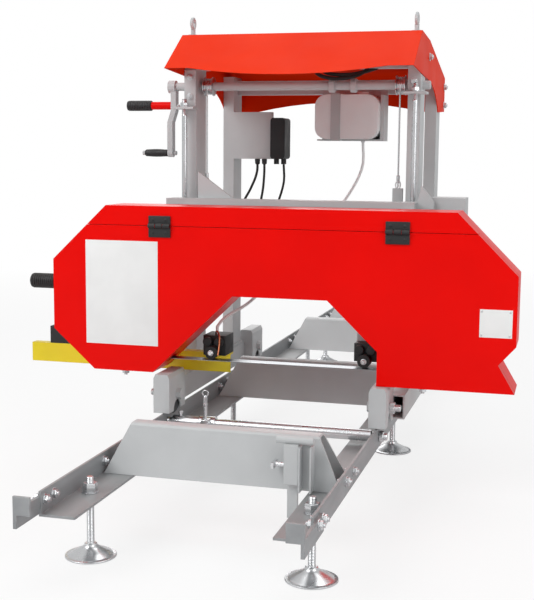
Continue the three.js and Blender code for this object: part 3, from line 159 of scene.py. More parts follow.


# One finish: two close tones in blotches, edges marked in patches that are partly worn paint and partly a painted
# highlight, dust on what faces up, and a bump
def makeFinish(name, f):
    material, tree, shader = newMaterial(name)[:3]
    place = addNode(tree, "ShaderNodeTexCoord").outputs["Object"]
    drawn = addNode(tree, "ShaderNodeMapping", {"Vector": place, "Scale": f.get("stretch", (1, 1, 1))}).outputs[0]
    facing = addNode(tree, "ShaderNodeNewGeometry").outputs["Normal"]
    # Each noise: its coordinates, how many millimetres its blotches are across, and its detail
    patterns = {
        "blotch": (drawn, f["blotch"], 4), "grain": (drawn, f["grain"], 2), "polish": (drawn, f["blotch"] * 0.6, 4),
        "scuff_and_highlight_patch": (place, scuffAndHighlightPatchSize, 5), "film": (place, dustLook["size"], 5),
    }
    noise = {}
    for key, (where, size, detail) in patterns.items():
        sockets = {"Vector": where, "Scale": 1000 / size, "Detail": detail}
        noise[key] = addNode(tree, "ShaderNodeTexNoise", sockets).outputs["Fac"]
    # The bevel node rounds sharp edges in the shading, and where it turns the normal is an edge
    soft = addNode(tree, "ShaderNodeBevel", {"Radius": f["edge"]}, samples=4).outputs[0]
    turned = addNode(tree, "ShaderNodeVectorMath", {0: soft, 1: facing}, operation="DOT_PRODUCT").outputs["Value"]
    bump = {"Height": noise["grain"], "Distance": f["depth"], "Strength": f["bump"], "Normal": soft}
    tree.links.new(addNode(tree, "ShaderNodeBump", bump).outputs[0], shader.inputs["Normal"])
    up = addNode(tree, "ShaderNodeSeparateXYZ", {0: facing}).outputs["Z"]
    # Each share: what it follows, from and to, and what these become
    ranges = {
        "blotch": (noise["blotch"], 0.3, 0.7, 0, 1), "scuff_and_highlight_patch": (noise["scuff_and_highlight_patch"], 0.45, 0.62, 0, f["scuff_and_highlight_amount"]),
        "edge": (turned, 0.86, 0.97, 1, 0), "up": (up, 0.5, 1, 0, f["dust"]),
        "film": (noise["film"], 0.3, 0.7, 0.3, 1), "rough": (noise["polish"], 0.3, 0.7, *f["rough"]),
    }
    share = {}
    for key, (value, a, b, c, d) in ranges.items():
        sockets = {"Value": value, "From Min": a, "From Max": b, "To Min": c, "To Max": d}
        share[key] = addNode(tree, "ShaderNodeMapRange", sockets).outputs[0]
    # Patches along the edges take the edge tone: partly wear, partly a painted highlight where the edges catch the
    # light
    scuffs_and_highlights = addNode(tree, "ShaderNodeMath", {0: share["edge"], 1: share["scuff_and_highlight_patch"]}, operation="MULTIPLY").outputs[0]
    dust = addNode(tree, "ShaderNodeMath", {0: share["up"], 1: share["film"]}, operation="MULTIPLY").outputs[0]
    colour = toLinear(f["tones"][0])
    for amount, over in ((share["blotch"], f["tones"][1]), (scuffs_and_highlights, f["bare"]), (dust, dustLook["colour"])):
        colour = addNode(tree, "ShaderNodeMix", {0: amount, 6: colour, 7: toLinear(over)}, data_type="RGBA").outputs[2]
    tree.links.new(colour, shader.inputs["Base Color"])
    sockets = {0: dust, 1: dustLook["roughens"], 2: share["rough"]}
    rough = addNode(tree, "ShaderNodeMath", sockets, operation="MULTIPLY_ADD", use_clamp=True)
    tree.links.new(rough.outputs[0], shader.inputs["Roughness"])
    for key, socket in constants.items():
        if key in f:
            shader.inputs[socket].default_value = f[key]
    if "glow" in f:  # light that soaks into thin plastic
        shader.inputs["Subsurface Radius"].default_value = soaked["radius"]
        shader.inputs["Subsurface Scale"].default_value = soaked["scale"]
    return material


# Blotch and grain are in millimetres, edge and depth in metres
finishes = {
    # Gloss polyester powder coat on sheet: deep red, faint orange peel drawn at 5 mm so that it shows
    "gloss_red_powder_coat": {
        "tones": ("f10500", "e90400"), "bare": "c2483e", "blotch": 160, "grain": 5, "bump": 0.1, "depth": 0.0004,
        "edge": 0.0016, "scuff_and_highlight_amount": 0.2, "dust": 0.015, "rough": (0.28, 0.36), "gloss": 0.1,
    },
    # The roof's powder coat: more orange, a little flatter
    "orange_powder_coat": {
        "tones": ("ee3200", "e62c00"), "bare": "c9604a", "blotch": 190, "grain": 6, "bump": 0.1, "depth": 0.0005,
        "edge": 0.0016, "scuff_and_highlight_amount": 0.2, "dust": 0.015, "rough": (0.4, 0.5), "gloss": 0.04,
    },
    # Light grey powder coat on tube and folded plate: satin, fine pebble drawn at 3 mm
    "grey_powder_coat": {
        "tones": ("c6c8c9", "bdbfc0"), "bare": "999b9c", "blotch": 120, "grain": 3, "bump": 0.2, "depth": 0.0004,
        "edge": 0.0015, "scuff_and_highlight_amount": 0.5, "dust": 0.08, "rough": (0.38, 0.52), "ior": 1.5,
    },
    # Bright zinc plating: mirror-like with a faint cloudy spangle
    "bright_zinc_plate": {
        "tones": ("dcdddf", "cbcdcf"), "bare": "ececed", "blotch": 70, "grain": 8, "bump": 0.02, "depth": 0.0002,
        "edge": 0.0008, "scuff_and_highlight_amount": 0.1, "dust": 0.03, "rough": (0.24, 0.3), "metal": 1,
    },
    # Hot-rolled angle with mill scale: dull grey, streaks along its length, edges lighter in patches, partly rubbed
    # bright and partly a painted highlight
    "hot_rolled_steel": {
        "tones": ("a6a8aa", "8e9092"), "bare": "cfd0d1", "blotch": 60, "grain": 5, "bump": 0.15, "depth": 0.0004,
        "edge": 0.0018, "scuff_and_highlight_amount": 0.9, "dust": 0.12, "rough": (0.36, 0.55), "metal": 0.35, "stretch": (1, 0.15, 1),
    },
    # Grey iron, as cast: coarse sand texture
    "grey_cast_iron": {
        "tones": ("66696b", "4e5153"), "bare": "9a9c9e", "blotch": 25, "grain": 3, "bump": 0.5, "depth": 0.0006,
        "edge": 0.0018, "scuff_and_highlight_amount": 0.8, "dust": 0.12, "rough": (0.5, 0.7), "metal": 0.6,
    },
    # Moulded black plastic: fine matt spark-eroded grain
    "moulded_black_plastic": {
        "tones": ("1d1d1f", "161617"), "bare": "3b3b3d", "blotch": 40, "grain": 2, "bump": 0.3, "depth": 0.0003,
        "edge": 0.0014, "scuff_and_highlight_amount": 0.4, "dust": 0.08, "rough": (0.45, 0.6), "ior": 1.49,
    },
    # Blow-moulded polyethylene: milky white, waxy, faintly lit through
    "milky_polyethylene": {
        "tones": ("f8f9f9", "f2f3f3"), "bare": "fbfbfb", "blotch": 90, "grain": 9, "bump": 0.15, "depth": 0.0006,
        "edge": 0.003, "scuff_and_highlight_amount": 0.1, "dust": 0.1, "rough": (0.4, 0.5), "ior": 1.51, "glow": 0.2,
    },
    # Yellow signal paint, brushed on
    "yellow_machine_paint": {
        "tones": ("f0dc1a", "e8d214"), "bare": "9a9260", "blotch": 80, "grain": 5, "bump": 0.2, "depth": 0.0004,
        "edge": 0.0015, "scuff_and_highlight_amount": 0.7, "dust": 0.1, "rough": (0.32, 0.46), "ior": 1.5,
    },
    # Rolled band steel: bright, drawn along the band
    "rolled_band_steel": {
        "tones": ("a9adb1", "8f9397"), "bare": "c9cccf", "blotch": 20, "grain": 2, "bump": 0.15, "depth": 0.0002,
        "edge": 0.0005, "scuff_and_highlight_amount": 0.6, "dust": 0.0, "rough": (0.22, 0.36), "metal": 1, "stretch": (0.06, 1, 1),
    },
    # Printed film left blank: even satin white, barely textured
    "white_vinyl_film": {
        "tones": ("f1f1f0", "ebebea"), "bare": "dcdcdb", "blotch": 70, "grain": 7, "bump": 0.05, "depth": 0.0002,
        "edge": 0.0006, "scuff_and_highlight_amount": 0.2, "dust": 0.0, "rough": (0.35, 0.42), "ior": 1.5,
    },
    # Drawn copper pipe: warm metal, a little tarnished
    "drawn_copper_pipe": {
        "tones": ("d08a68", "b06c4c"), "bare": "e6b090", "blotch": 8, "grain": 3, "bump": 0.1, "depth": 0.0002,
        "edge": 0.0005, "scuff_and_highlight_amount": 0.4, "dust": 0.0, "rough": (0.25, 0.4), "metal": 1,
    },
    # Synthetic rubber: dull black, slightly grey where dusty
    "black_rubber": {
        "tones": ("242424", "1b1b1b"), "bare": "3c3c3c", "blotch": 30, "grain": 3, "bump": 0.3, "depth": 0.0003,
        "edge": 0.001, "scuff_and_highlight_amount": 0.3, "dust": 0.12, "rough": (0.7, 0.85), "ior": 1.52,
    },
}
looks = {name: makeFinish(name, f) for name, f in finishes.items()}

nodeFinishes = {
    "hot_rolled_steel": ["left_rail", "right_rail"],
    "grey_powder_coat": [
        "log_bunk_1", "log_bunk_2", "log_bunk_3", "log_bunk_4", "log_bunk_5", "clamp_slider", "left_side_frame",
        "right_side_frame", "front_portal", "rear_portal", "head_frame", "idler_carrier", "crank_arm", "motor",
    ],
    "bright_zinc_plate": [
        "clamp_rod", "clamp_screw", "dog_sleeve", "dog_pin", "left_guide_rod", "right_guide_rod", "left_rope",
        "right_rope", "winch_shaft", *(f"foot_{i}" for i in range(1, 11)),
    ],
    "grey_cast_iron": [
        "front_left_wheel", "front_right_wheel", "rear_left_wheel", "rear_right_wheel", "drive_wheel", "idler_wheel",
        "motor_pulley",
    ],
    "orange_powder_coat": ["roof"],
    "gloss_red_powder_coat": ["casing", "cover_door", "switch_knob"],
    "moulded_black_plastic": [
        "control_box", "crank_grip", "lock_handle", "tension_handle", "left_latch", "right_latch",
        "left_guide_roller", "right_guide_roller",
    ],
    "milky_polyethylene": ["tank", "tank_hose"],
    "yellow_machine_paint": ["guide_arm"],
    "rolled_band_steel": ["saw_blade"],
    "black_rubber": ["motor_lead", "drive_belt"],
}
for finish, names in nodeFinishes.items():
    for name in names:
        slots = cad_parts[name].data.materials
        for i in range(max(1, len(slots))):
            if i < len(slots):
                slots[i] = looks[finish]
            else:
                slots.append(looks[finish])
unfinished = set(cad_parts) - {n for names in nodeFinishes.values() for n in names}
print("materials on every node; left out:", sorted(unfinished))


# New pieces start as a primitive that operators shape. Their sizes are the part's own millimetres
def row(x, y, z):
    return Vector(((x + 59.5) / 1000, (y - 1161) / 1000, z / 1000))


partZero = row(0, 0, 0)
quarter = math.pi / 2
turns = {
    "x": (0, quarter, 0), "-x": (0, -quarter, 0), "y": (-quarter, 0, 0), "-y": (quarter, 0, 0), "z": (0, 0, 0),
    "-z": (math.pi, 0, 0),
}
zinc, plastic = "bright_zinc_plate", "moulded_black_plastic"


# Leaves edit mode, places the shape and gives it its finish
def settle(obj, name, at, axis, look, angle=0.6):
    bpy.ops.mesh.select_all(action="SELECT")
    bpy.ops.mesh.normals_make_consistent(inside=False)
    bpy.ops.object.mode_set(mode="OBJECT")
    bpy.ops.object.transform_apply()
    obj.rotation_euler, obj.location = turns[axis], at
    bpy.ops.object.transform_apply()
    bpy.ops.object.shade_smooth_by_angle(angle=angle)
    obj.name = name
    obj.data.materials.append(looks[look])
    return obj


# A turned shape: each ring's radius and its height along the axis
def turnPiece(name, profile, at, axis, look=zinc, sides=32):
    bpy.ops.object.select_all(action="DESELECT")
    radius, height = profile[0]
    bpy.ops.mesh.primitive_circle_add(
        vertices=sides, radius=radius / 1000, fill_type="NGON", location=(0, 0, height / 1000))
    obj = bpy.context.object
    bpy.ops.object.mode_set(mode="EDIT")
    bpy.ops.mesh.select_all(action="SELECT")
    for nextRadius, nextHeight in profile[1:]:
        rise = (0, 0, (nextHeight - height) / 1000)
        bpy.ops.mesh.extrude_region_move(TRANSFORM_OT_translate={"value": rise})
        grow = nextRadius / radius
        bpy.ops.transform.resize(value=(grow, grow, 1), center_override=(0, 0, nextHeight / 1000))
        radius, height = nextRadius, nextHeight
    return settle(obj, name, at, axis, look)


# A block with rounded edges between two corners
def blockPiece(name, low, high, bevel, look):
    bpy.ops.object.select_all(action="DESELECT")
    a, b = row(*low), row(*high)
    bpy.ops.mesh.primitive_cube_add(size=1, location=(a + b) / 2, scale=b - a)
    obj = bpy.context.object
    bpy.ops.object.transform_apply()
    bpy.ops.object.mode_set(mode="EDIT")
    bpy.ops.mesh.select_all(action="SELECT")
    bpy.ops.mesh.bevel(offset=bevel / 1000, segments=3, affect="EDGES")
    return settle(obj, name, (0, 0, 0), "z", look)


# A ring of round wire that hangs upright, facing Y
def ringPiece(at, r):
    bpy.ops.object.select_all(action="DESELECT")
    bpy.ops.mesh.primitive_torus_add(
        major_segments=r["segments"], minor_segments=10, major_radius=r["major"] / 1000,
        minor_radius=r["minor"] / 1000, rotation=(quarter, 0, 0), location=at)
    obj = bpy.context.object
    bpy.ops.object.transform_apply()
    bpy.ops.object.mode_set(mode="EDIT")
    bpy.ops.mesh.select_all(action="SELECT")
    bpy.ops.transform.resize(value=r["stretch"], center_override=at)
    return settle(obj, "ring", (0, 0, 0), "z", zinc, 1.0)


# A round lead or pipe along a smooth curve through points
def leadPiece(name, points, radius, look):
    curve = bpy.data.curves.new(name, "CURVE")
    curve.dimensions, curve.bevel_depth, curve.bevel_resolution = "3D", radius / 1000, 3
    curve.use_fill_caps, curve.resolution_u = True, 10
    spline = curve.splines.new("BEZIER")
    spline.bezier_points.add(len(points) - 1)
    for knot, point in zip(spline.bezier_points, points):
        knot.co = row(*point)
        knot.handle_left_type = knot.handle_right_type = "AUTO"
    obj = bpy.data.objects.new(name, curve)
    bpy.context.scene.collection.objects.link(obj)
    bpy.ops.object.select_all(action="DESELECT")
    obj.select_set(True)
    bpy.context.view_layer.objects.active = obj
    bpy.ops.object.convert(target="MESH")
    obj = bpy.context.object
    bpy.ops.object.shade_smooth_by_angle(angle=1.0)
    obj.data.materials.clear()
    obj.data.materials.append(looks[look])
    return obj


def joinPieces(name, parts):
    bpy.ops.object.select_all(action="DESELECT")
    for part in parts:
        part.select_set(True)
    bpy.context.view_layer.objects.active = parts[0]
    bpy.ops.object.join()
    parts[0].name = name
    return parts[0]


def copyPiece(obj, name, shift):
    twin = obj.copy()
    twin.data = obj.data.copy()
    twin.name = name
    bpy.context.scene.collection.objects.link(twin)
    twin.data.transform(Matrix.Translation(shift))
    return twin


def shifted(profile, by):
    return [(radius, height + by) for radius, height in profile]


# Rings that stand for a screw thread, drawn coarser than real so that they show
def thread(radius, low, high, pitch=3):
    rings = []
    count = int((high - low) / pitch)
    for i in range(count):
        rings += [(radius, low + i * pitch), (radius * 0.9, low + (i + 0.5) * pitch)]
    return rings + [(radius, low + count * pitch)]


def hexagon(radius, low, height):
    ends = (0, 0.9), (0.12, 1), (0.88, 1), (1, 0.9)
    return [(radius * wide, low + height * up) for up, wide in ends]


# Bolt heads on washers at several places, as one piece
bolt = {"head": 7.5, "height": 5.5, "washer": 9.5, "washerHeight": 1.6, "stub": 3.75, "stubLength": 5, "pitch": 1.5}


def boltsAt(name, axis, places, body, size):
    b = {key: value * size for key, value in bolt.items() if key != "pitch"}
    washer = turnPiece(name, [(b["washer"], 0), (b["washer"], b["washerHeight"])], partZero, axis, sides=24)
    head = turnPiece(name + "_head", hexagon(b["head"], b["washerHeight"], b["height"]), partZero, axis, sides=6)
    end = thread(b["stub"], b["height"], b["height"] + b["stubLength"], bolt["pitch"])
    master = joinPieces(name, [washer, head, turnPiece(name + "_stub", end, partZero, axis, sides=16)])
    copies = [copyPiece(master, name + str(i), row(*p) - partZero) for i, p in enumerate(places)]
    bpy.data.objects.remove(master)
    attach(joinPieces(name, copies), body)


# Levelling feet: pressed steel dish, threaded rod, a nut and washer on each side of the rail's flange
foot = {
    "rod": 8, "base": 28, "top": 168, "tip": 6.4, "flange": (129, 134), "nut": 13.5, "nutHeight": 11.5,
    "washer": 17, "washerFrom": 0.3, "washerTo": 2.3, "nutFrom": 2.4, "cap": 16, "capHeight": 19,
    "dish": [(51.5, 0), (53, 0.8), (53, 3), (51.8, 4), (46.5, 4.2), (44, 5.5), (37, 10), (29, 14), (21, 18),
             (16, 21.5), (13.5, 24.5), (13, 27), (11, 28.4)],
}


def makeFeet(f):
    low, high = f["flange"]
    rod = [(f["rod"], f["base"])] + thread(f["rod"], f["base"] + 2, f["top"] - 2) + [(f["tip"], f["top"])]
    under = [(f["washer"], low - f["washerTo"]), (f["washer"], low - f["washerFrom"])]
    over = [(f["washer"], high + f["washerFrom"]), (f["washer"], high + f["washerTo"])]
    lowerNut = hexagon(f["nut"], low - f["nutFrom"] - f["nutHeight"], f["nutHeight"])
    upperNut = hexagon(f["cap"], high + f["nutFrom"], f["capHeight"])
    master = joinPieces("levelling_foot", [
        turnPiece("levelling_foot", f["dish"], partZero, "z", sides=64),
        turnPiece("rod", rod, partZero, "z", sides=24),
        turnPiece("lower_nut", lowerNut, partZero, "z", sides=6),
        turnPiece("lower_washer", under, partZero, "z"),
        turnPiece("upper_washer", over, partZero, "z"),
        turnPiece("upper_nut", upperNut, partZero, "z", sides=6),
    ])
    for i in range(1, 11):
        a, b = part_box(f"foot_{i}")
        middle = (a + b) / 2 - partZero
        one = copyPiece(master, f"levelling_foot_{i}", (middle.x, middle.y, 0))
        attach(one, "track")
        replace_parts(one, f"foot_{i}")
    bpy.data.objects.remove(master)


makeFeet(foot)
print("levelling feet made")

# Guide rods: ground bar with a threaded top, a washer and a nut on the bracket's tab
guideRod = {
    "x": 304, "y": 250, "radius": 7, "base": 242.3, "tab": {"left": 944.3, "right": 980.3}, "threadFrom": 22,
    "threadTo": 18, "pitch": 2.5, "washer": 12.5, "washerHeight": 2, "nut": 11, "nutHeight": 9,
}
for side, way in (("left", -1), ("right", 1)):
    g, tab = guideRod, guideRod["tab"][side]
    at = row(way * g["x"], g["y"], 0)
    rod = [(g["radius"] * 0.85, g["base"]), (g["radius"], g["base"] + 1.5), (g["radius"], tab - g["threadFrom"] - 2)]
    rod += thread(g["radius"], tab - g["threadFrom"], tab + g["threadTo"], g["pitch"])
    rod.append((g["radius"] * 0.8, tab + g["threadTo"] + 2))
    parts = [
        turnPiece("rod", rod, at, "z", sides=40),
        turnPiece("washer", [(g["washer"], tab), (g["washer"], tab + g["washerHeight"])], at, "z"),
        turnPiece("nut", hexagon(g["nut"], tab + g["washerHeight"], g["nutHeight"]), at, "z", sides=6),
    ]
    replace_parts(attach(joinPieces(f"{side}_guide_bar", parts), "carriage"), f"{side}_guide_rod")

# Winch: painted shaft, two clamp rings, and a zinc drum with rope wound on it by each post
winch = {
    "y": 320, "z": 1000, "left": [(9, -372), (11, -370)], "right": [(11, 331), (9, 333)], "drums": (-258, 258),
    "rings": (78, 135), "ring": [(11, -8), (16.5, -8), (18, -6.5), (18, 6.5), (16.5, 8), (11, 8)],
    "near": [(24, -13), (25, -12.5), (25, -10.5), (24, -10), (18.8, -9.8)],
    "far": [(24, 10), (25, 10.5), (25, 12.5), (24, 13)],
    "winding": [(19.6, 0.3), (21, 1.2), (21.4, 2.4), (21, 3.6), (19.6, 4.5)], "windings": 4, "first": -9.6,
    "pitch": 4.8,
}
at = row(0, winch["y"], winch["z"])
line = winch["left"] + [ring for x in winch["rings"] for ring in shifted(winch["ring"], x)] + winch["right"]
parts = [turnPiece("shaft", line, at, "x", "grey_powder_coat", 40)]
for x in winch["drums"]:
    drum = shifted(winch["near"], x)
    for i in range(winch["windings"]):
        drum += shifted(winch["winding"], x + winch["first"] + i * winch["pitch"])
    parts.append(turnPiece("drum", drum + shifted(winch["far"], x), at, "x", sides=48))
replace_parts(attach(joinPieces("rope_winch", parts), "winch"), "winch_shaft")

# Crank grip, and the lock handle with its red tube and ribbed black grip
grip = {
    "at": (-375.5, 320, 823),
    "profile": [(7.5, 0), (9.4, 1.5), (9.6, 10), (10.3, 22), (10.5, 33), (10.3, 44), (9.6, 56), (9.2, 63), (7, 66)],
}
sleeve = turnPiece("crank_sleeve", grip["profile"], row(*grip["at"]), "-x", plastic, 40)
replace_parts(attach(sleeve, "grip"), "crank_grip")
lock = {
    "at": (-364.8, 320, 950), "tube": [(9.5, 0), (10.5, 1), (10.5, 60)], "pin": [(3.4, -22), (4, -21), (4, 0.5)],
    "collar": [(12, 57), (13.8, 59)], "ribs": 12, "first": 60, "pitch": 5,
    "rib": [(14, 0.5), (14, 3.2), (13.1, 3.8), (13.1, 4.6)], "end": [(14, 122), (12.5, 126.5), (9, 128)],
}
at = row(*lock["at"])
ribs = [ring for i in range(lock["ribs"]) for ring in shifted(lock["rib"], lock["first"] + i * lock["pitch"])]
parts = [
    turnPiece("tube", lock["tube"], at, "-x", "gloss_red_powder_coat", 40),
    turnPiece("pin", lock["pin"], at, "-x", sides=24),
    turnPiece("sleeve", lock["collar"] + ribs + lock["end"], at, "-x", plastic, 40),
]
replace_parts(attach(joinPieces("lock_lever", parts), "lock"), "lock_handle")
print("winch, guide bars and handles made")

# Black hinges over the cover's seam: one leaf on the casing, one on the door, and their screws
hinge = {
    "x": {"left": -280, "right": 306}, "half": 28.4, "front": -4.7, "back": -0.1, "round": 1.2, "y": -6, "seam": 646,
    "knuckle": 6.2, "chamfer": 0.8, "screwOut": 17, "screw": [(3.6, 0), (3.6, 0.5), (2.7, 1.3), (1.08, 1.6)],
}
hingeHalves = {
    "upper": {"body": "head", "leaf": (1, 24.4), "rolls": [(-9, 9)], "screwUp": 2},
    "lower": {"body": "door", "leaf": (-28.4, -1), "rolls": [(-28, -10), (10, 28)], "screwUp": -2},
}
for side, x in hinge["x"].items():
    h = hinge
    for half, leaf in hingeHalves.items():
        low, high = (h["seam"] + z for z in leaf["leaf"])
        corners = (x - h["half"], h["front"], low), (x + h["half"], h["back"], high)
        parts = [blockPiece("leaf", *corners, h["round"], plastic)]
        for start, end in leaf["rolls"]:
            a, b, thin = x + start, x + end, h["knuckle"] - h["chamfer"]
            roll = [(thin, a), (h["knuckle"], a + h["chamfer"]), (h["knuckle"], b - h["chamfer"]), (thin, b)]
            parts.append(turnPiece("roll", roll, row(0, h["y"], h["seam"]), "x", plastic, 24))
        for way in (-1, 1):
            at = row(x + way * h["screwOut"], h["front"], (low + high) / 2 + leaf["screwUp"])
            parts.append(turnPiece("screw", h["screw"], at, "-y", plastic, 20))
        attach(joinPieces(f"{side}_hinge_{half}", parts), leaf["body"])

# Hexagon screws under the lobes hold the door shut
doorScrew = {
    "x": {"left": -377, "right": 372}, "y": 12, "z": 279.7, "washer": [(10.5, 0), (11, 0.4), (11, 1.8), (10.5, 2.2)],
    "head": hexagon(8.6, 2.2, 6), "tip": thread(4, 8, 12, 1.3), "shank": [(4, 0), (4, -5.5)],
    "nut": hexagon(7, -5.8, 3),
}
for side, x in doorScrew["x"].items():
    s, at = doorScrew, row(x, doorScrew["y"], doorScrew["z"])
    parts = [
        turnPiece("washer", s["washer"], at, "-z"),
        turnPiece("head", s["head"], at, "-z", sides=6),
        turnPiece("tip", s["tip"], at, "-z", sides=20),
        turnPiece("shank", s["shank"], at, "-z", sides=20),
        turnPiece("inner_nut", s["nut"], at, "-z", sides=6),
    ]
    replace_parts(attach(joinPieces(f"{side}_door_screw", parts), f"latch_{side}"), f"{side}_latch")

# Bare white film on the left lobe, and a bare plate with four rivets on the right one
blanks = {"film": ((-478, 346), (-286, 607)), "plate": ((499, 410), (573, 475))}
blankSheet = {"front": -0.8, "back": -0.05, "round": 0.3}
rivet = {"inset": 5, "profile": [(2.6, 0), (2.4, 0.7), (1.2, 1.3)]}
for name, (a, b) in blanks.items():
    corners = (a[0], blankSheet["front"], a[1]), (b[0], blankSheet["back"], b[1])
    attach(blockPiece(f"blank_{name}", *corners, blankSheet["round"], "white_vinyl_film"), "door")
(a, b) = blanks["plate"]
parts = []
for x in (a[0] + rivet["inset"], b[0] - rivet["inset"]):
    for z in (a[1] + rivet["inset"], b[1] - rivet["inset"]):
        parts.append(turnPiece("rivet", rivet["profile"], row(x, blankSheet["front"], z), "-y", sides=16))
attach(joinPieces("plate_rivets", parts), "door")
print("hinges, door screws and blank plates made")

# Bolts on rails, stops, splices, bunks, roof, brackets and motor
bunkRows, bunkSpread = [-347, 471, 1289, 1908, 2726], 39
stopBolts = [-668, -632, 2954, 2990]
railBolts = [y + way * bunkSpread for y in bunkRows for way in (-1, 1)] + stopBolts
spliceBolts = [1475, 1535, 1605, 1665]
boltFaces = {"rail": 265, "splice": 259, "outside": 270, "stop": 276, "gable": 315.8, "bracket": 297}
boltHeights = {"rail": 160, "splice": 152}
boltSizes = {"track": 1.2, "gable": 1.15, "small": 0.9}
gableBolts = [(768, 1020), (768, 968), (417, 1078)]
bracketBolts = {"y": 274, "left": (972, 1022), "right": (1008, 1058)}
motorBolts = {"x": 394, "y": 218.6, "z": 590, "spread": 54}
for side, way, inward, outward in (("left", -1, "x", "-x"), ("right", 1, "-x", "x")):
    faces = {key: way * x for key, x in boltFaces.items()}
    railZ, spliceZ = boltHeights["rail"], boltHeights["splice"]
    inner = [(faces["rail"], y, railZ) for y in railBolts] + [(faces["splice"], y, spliceZ) for y in spliceBolts]
    outer = [(faces["stop"] if y in stopBolts else faces["outside"], y, railZ) for y in railBolts]
    outer += [(faces["outside"], y, spliceZ) for y in spliceBolts]
    boltsAt(f"{side}_rail_bolts", inward, inner, "track", boltSizes["track"])
    boltsAt(f"{side}_rail_nuts", outward, outer, "track", boltSizes["track"])
    places = [(faces["gable"], y, z) for y, z in gableBolts]
    boltsAt(f"{side}_gable_bolts", outward, places, "carriage", boltSizes["gable"])
    places = [(faces["bracket"], bracketBolts["y"], z) for z in bracketBolts[side]]
    boltsAt(f"{side}_bracket_bolts", "-y", places, "carriage", boltSizes["small"])
m = motorBolts
places = [(m["x"] + across * m["spread"], m["y"], m["z"] + up * m["spread"]) for across in (-1, 1) for up in (-1, 1)]
boltsAt("motor_bolts", "y", places, "head", boltSizes["small"])
print("bolts made")

# Black bodies of the blade guides with their knobs and roller caps, and the arm's black grip
guideBody = {
    "left": {"low": (-195.6, 83.4, 315.6), "high": (-136.4, 152.6, 366.6), "body": "arm"},
    "right": {"low": (192.6, 83.4, 321.6), "high": (251.4, 119.6, 366.6), "body": "head"},
}
guideParts = {
    "round": 1.3, "knobIn": 15, "knobZ": 352, "capGap": 0.0004,
    "knob": [(9, 0), (9, 3), (11.5, 4), (12, 6), (12, 13), (10.5, 15), (6, 15.4)],
    "cap": [(7, 0), (7.4, 0.5), (7.4, 3), (5.4, 3.4), (5.4, 7), (4.4, 8)],
}
for side, g in guideBody.items():
    parts = [blockPiece("body", g["low"], g["high"], guideParts["round"], plastic)]
    for x in (g["low"][0] + guideParts["knobIn"], g["high"][0] - guideParts["knobIn"]):
        parts.append(turnPiece("knob", guideParts["knob"], row(x, g["low"][1], guideParts["knobZ"]), "-y", plastic, 24))
    a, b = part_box(f"{side}_guide_roller")
    at = Vector(((a.x + b.x) / 2, a.y - guideParts["capGap"], (a.z + b.z) / 2))
    parts.append(turnPiece("cap", guideParts["cap"], at, "-y", sides=24))
    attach(joinPieces(f"{side}_guide_body", parts), g["body"])
armGrip = blockPiece("arm_grip", (-640.6, 125.4, 316.2), (-577.4, 160.6, 362.6), guideParts["round"], plastic)
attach(armGrip, "arm")

# Leads under the control box end in grommets on the rear post, and two hoses hang under the front beam
leads = {
    "supply_lead": (3.6, [
        (-207, 618, 800), (-208, 616, 770), (-222, 605, 725), (-244, 596, 680), (-268, 604, 620), (-279, 620, 560),
        (-283, 622, 540),
    ]),
    "switch_lead": (3.6, [
        (-186, 618, 800), (-186, 616, 760), (-190, 606, 700), (-205, 598, 640), (-245, 606, 560), (-278, 636, 500),
        (-283, 640, 484),
    ]),
    "hose_bundle_1": (5, [
        (28, 340, 1046), (40, 310, 1030), (70, 292, 1019), (110, 288, 1016), (145, 300, 1024), (172, 338, 1046),
    ]),
    "hose_bundle_2": (5, [
        (44, 345, 1046), (60, 318, 1034), (90, 296, 1027), (130, 296, 1027), (160, 318, 1034), (190, 345, 1046),
    ]),
}
for name, (radius, points) in leads.items():
    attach(leadPiece(name, points, radius, "black_rubber"), "carriage")
gland = {
    "x": {"supply_gland": -207, "switch_gland": -186}, "y": 618, "z": 808, "nut": hexagon(8, 0, 8),
    "cap": [(7.2, 8), (7.4, 12), (6, 15), (4, 16)],
}
for name, x in gland["x"].items():
    at = row(x, gland["y"], gland["z"])
    parts = [turnPiece(name, gland["nut"], at, "-z", plastic, 6), turnPiece("cap", gland["cap"], at, "-z", plastic, 24)]
    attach(joinPieces(name, parts), "carriage")
coolant = {
    "radius": 2.2,
    "points": [(-166, 96, 366), (-160, 84, 378), (-150, 72, 372), (-146, 60, 346), (-146, 50, 322)],
}
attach(leadPiece("coolant_pipe", coolant["points"], coolant["radius"], "drawn_copper_pipe"), "arm")

# Thimble ring and clamp where each rope meets its lug on the head
thimble = {
    "x": {"left": -258, "right": 258}, "y": 300.5, "z": 747, "major": 7.5, "minor": 2.2, "segments": 28,
    "stretch": (0.8, 1, 1.25), "clampZ": 757, "clamp": [(3.4, 0), (4.4, 1), (4.4, 13), (3.4, 14)],
}
for side, x in thimble["x"].items():
    t = thimble
    ring = ringPiece(row(x, t["y"], t["z"]), t)
    clamp = turnPiece("clamp", t["clamp"], row(x, t["y"], t["clampZ"]), "z", sides=20)
    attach(joinPieces(f"{side}_rope_thimble", [ring, clamp]), "head")

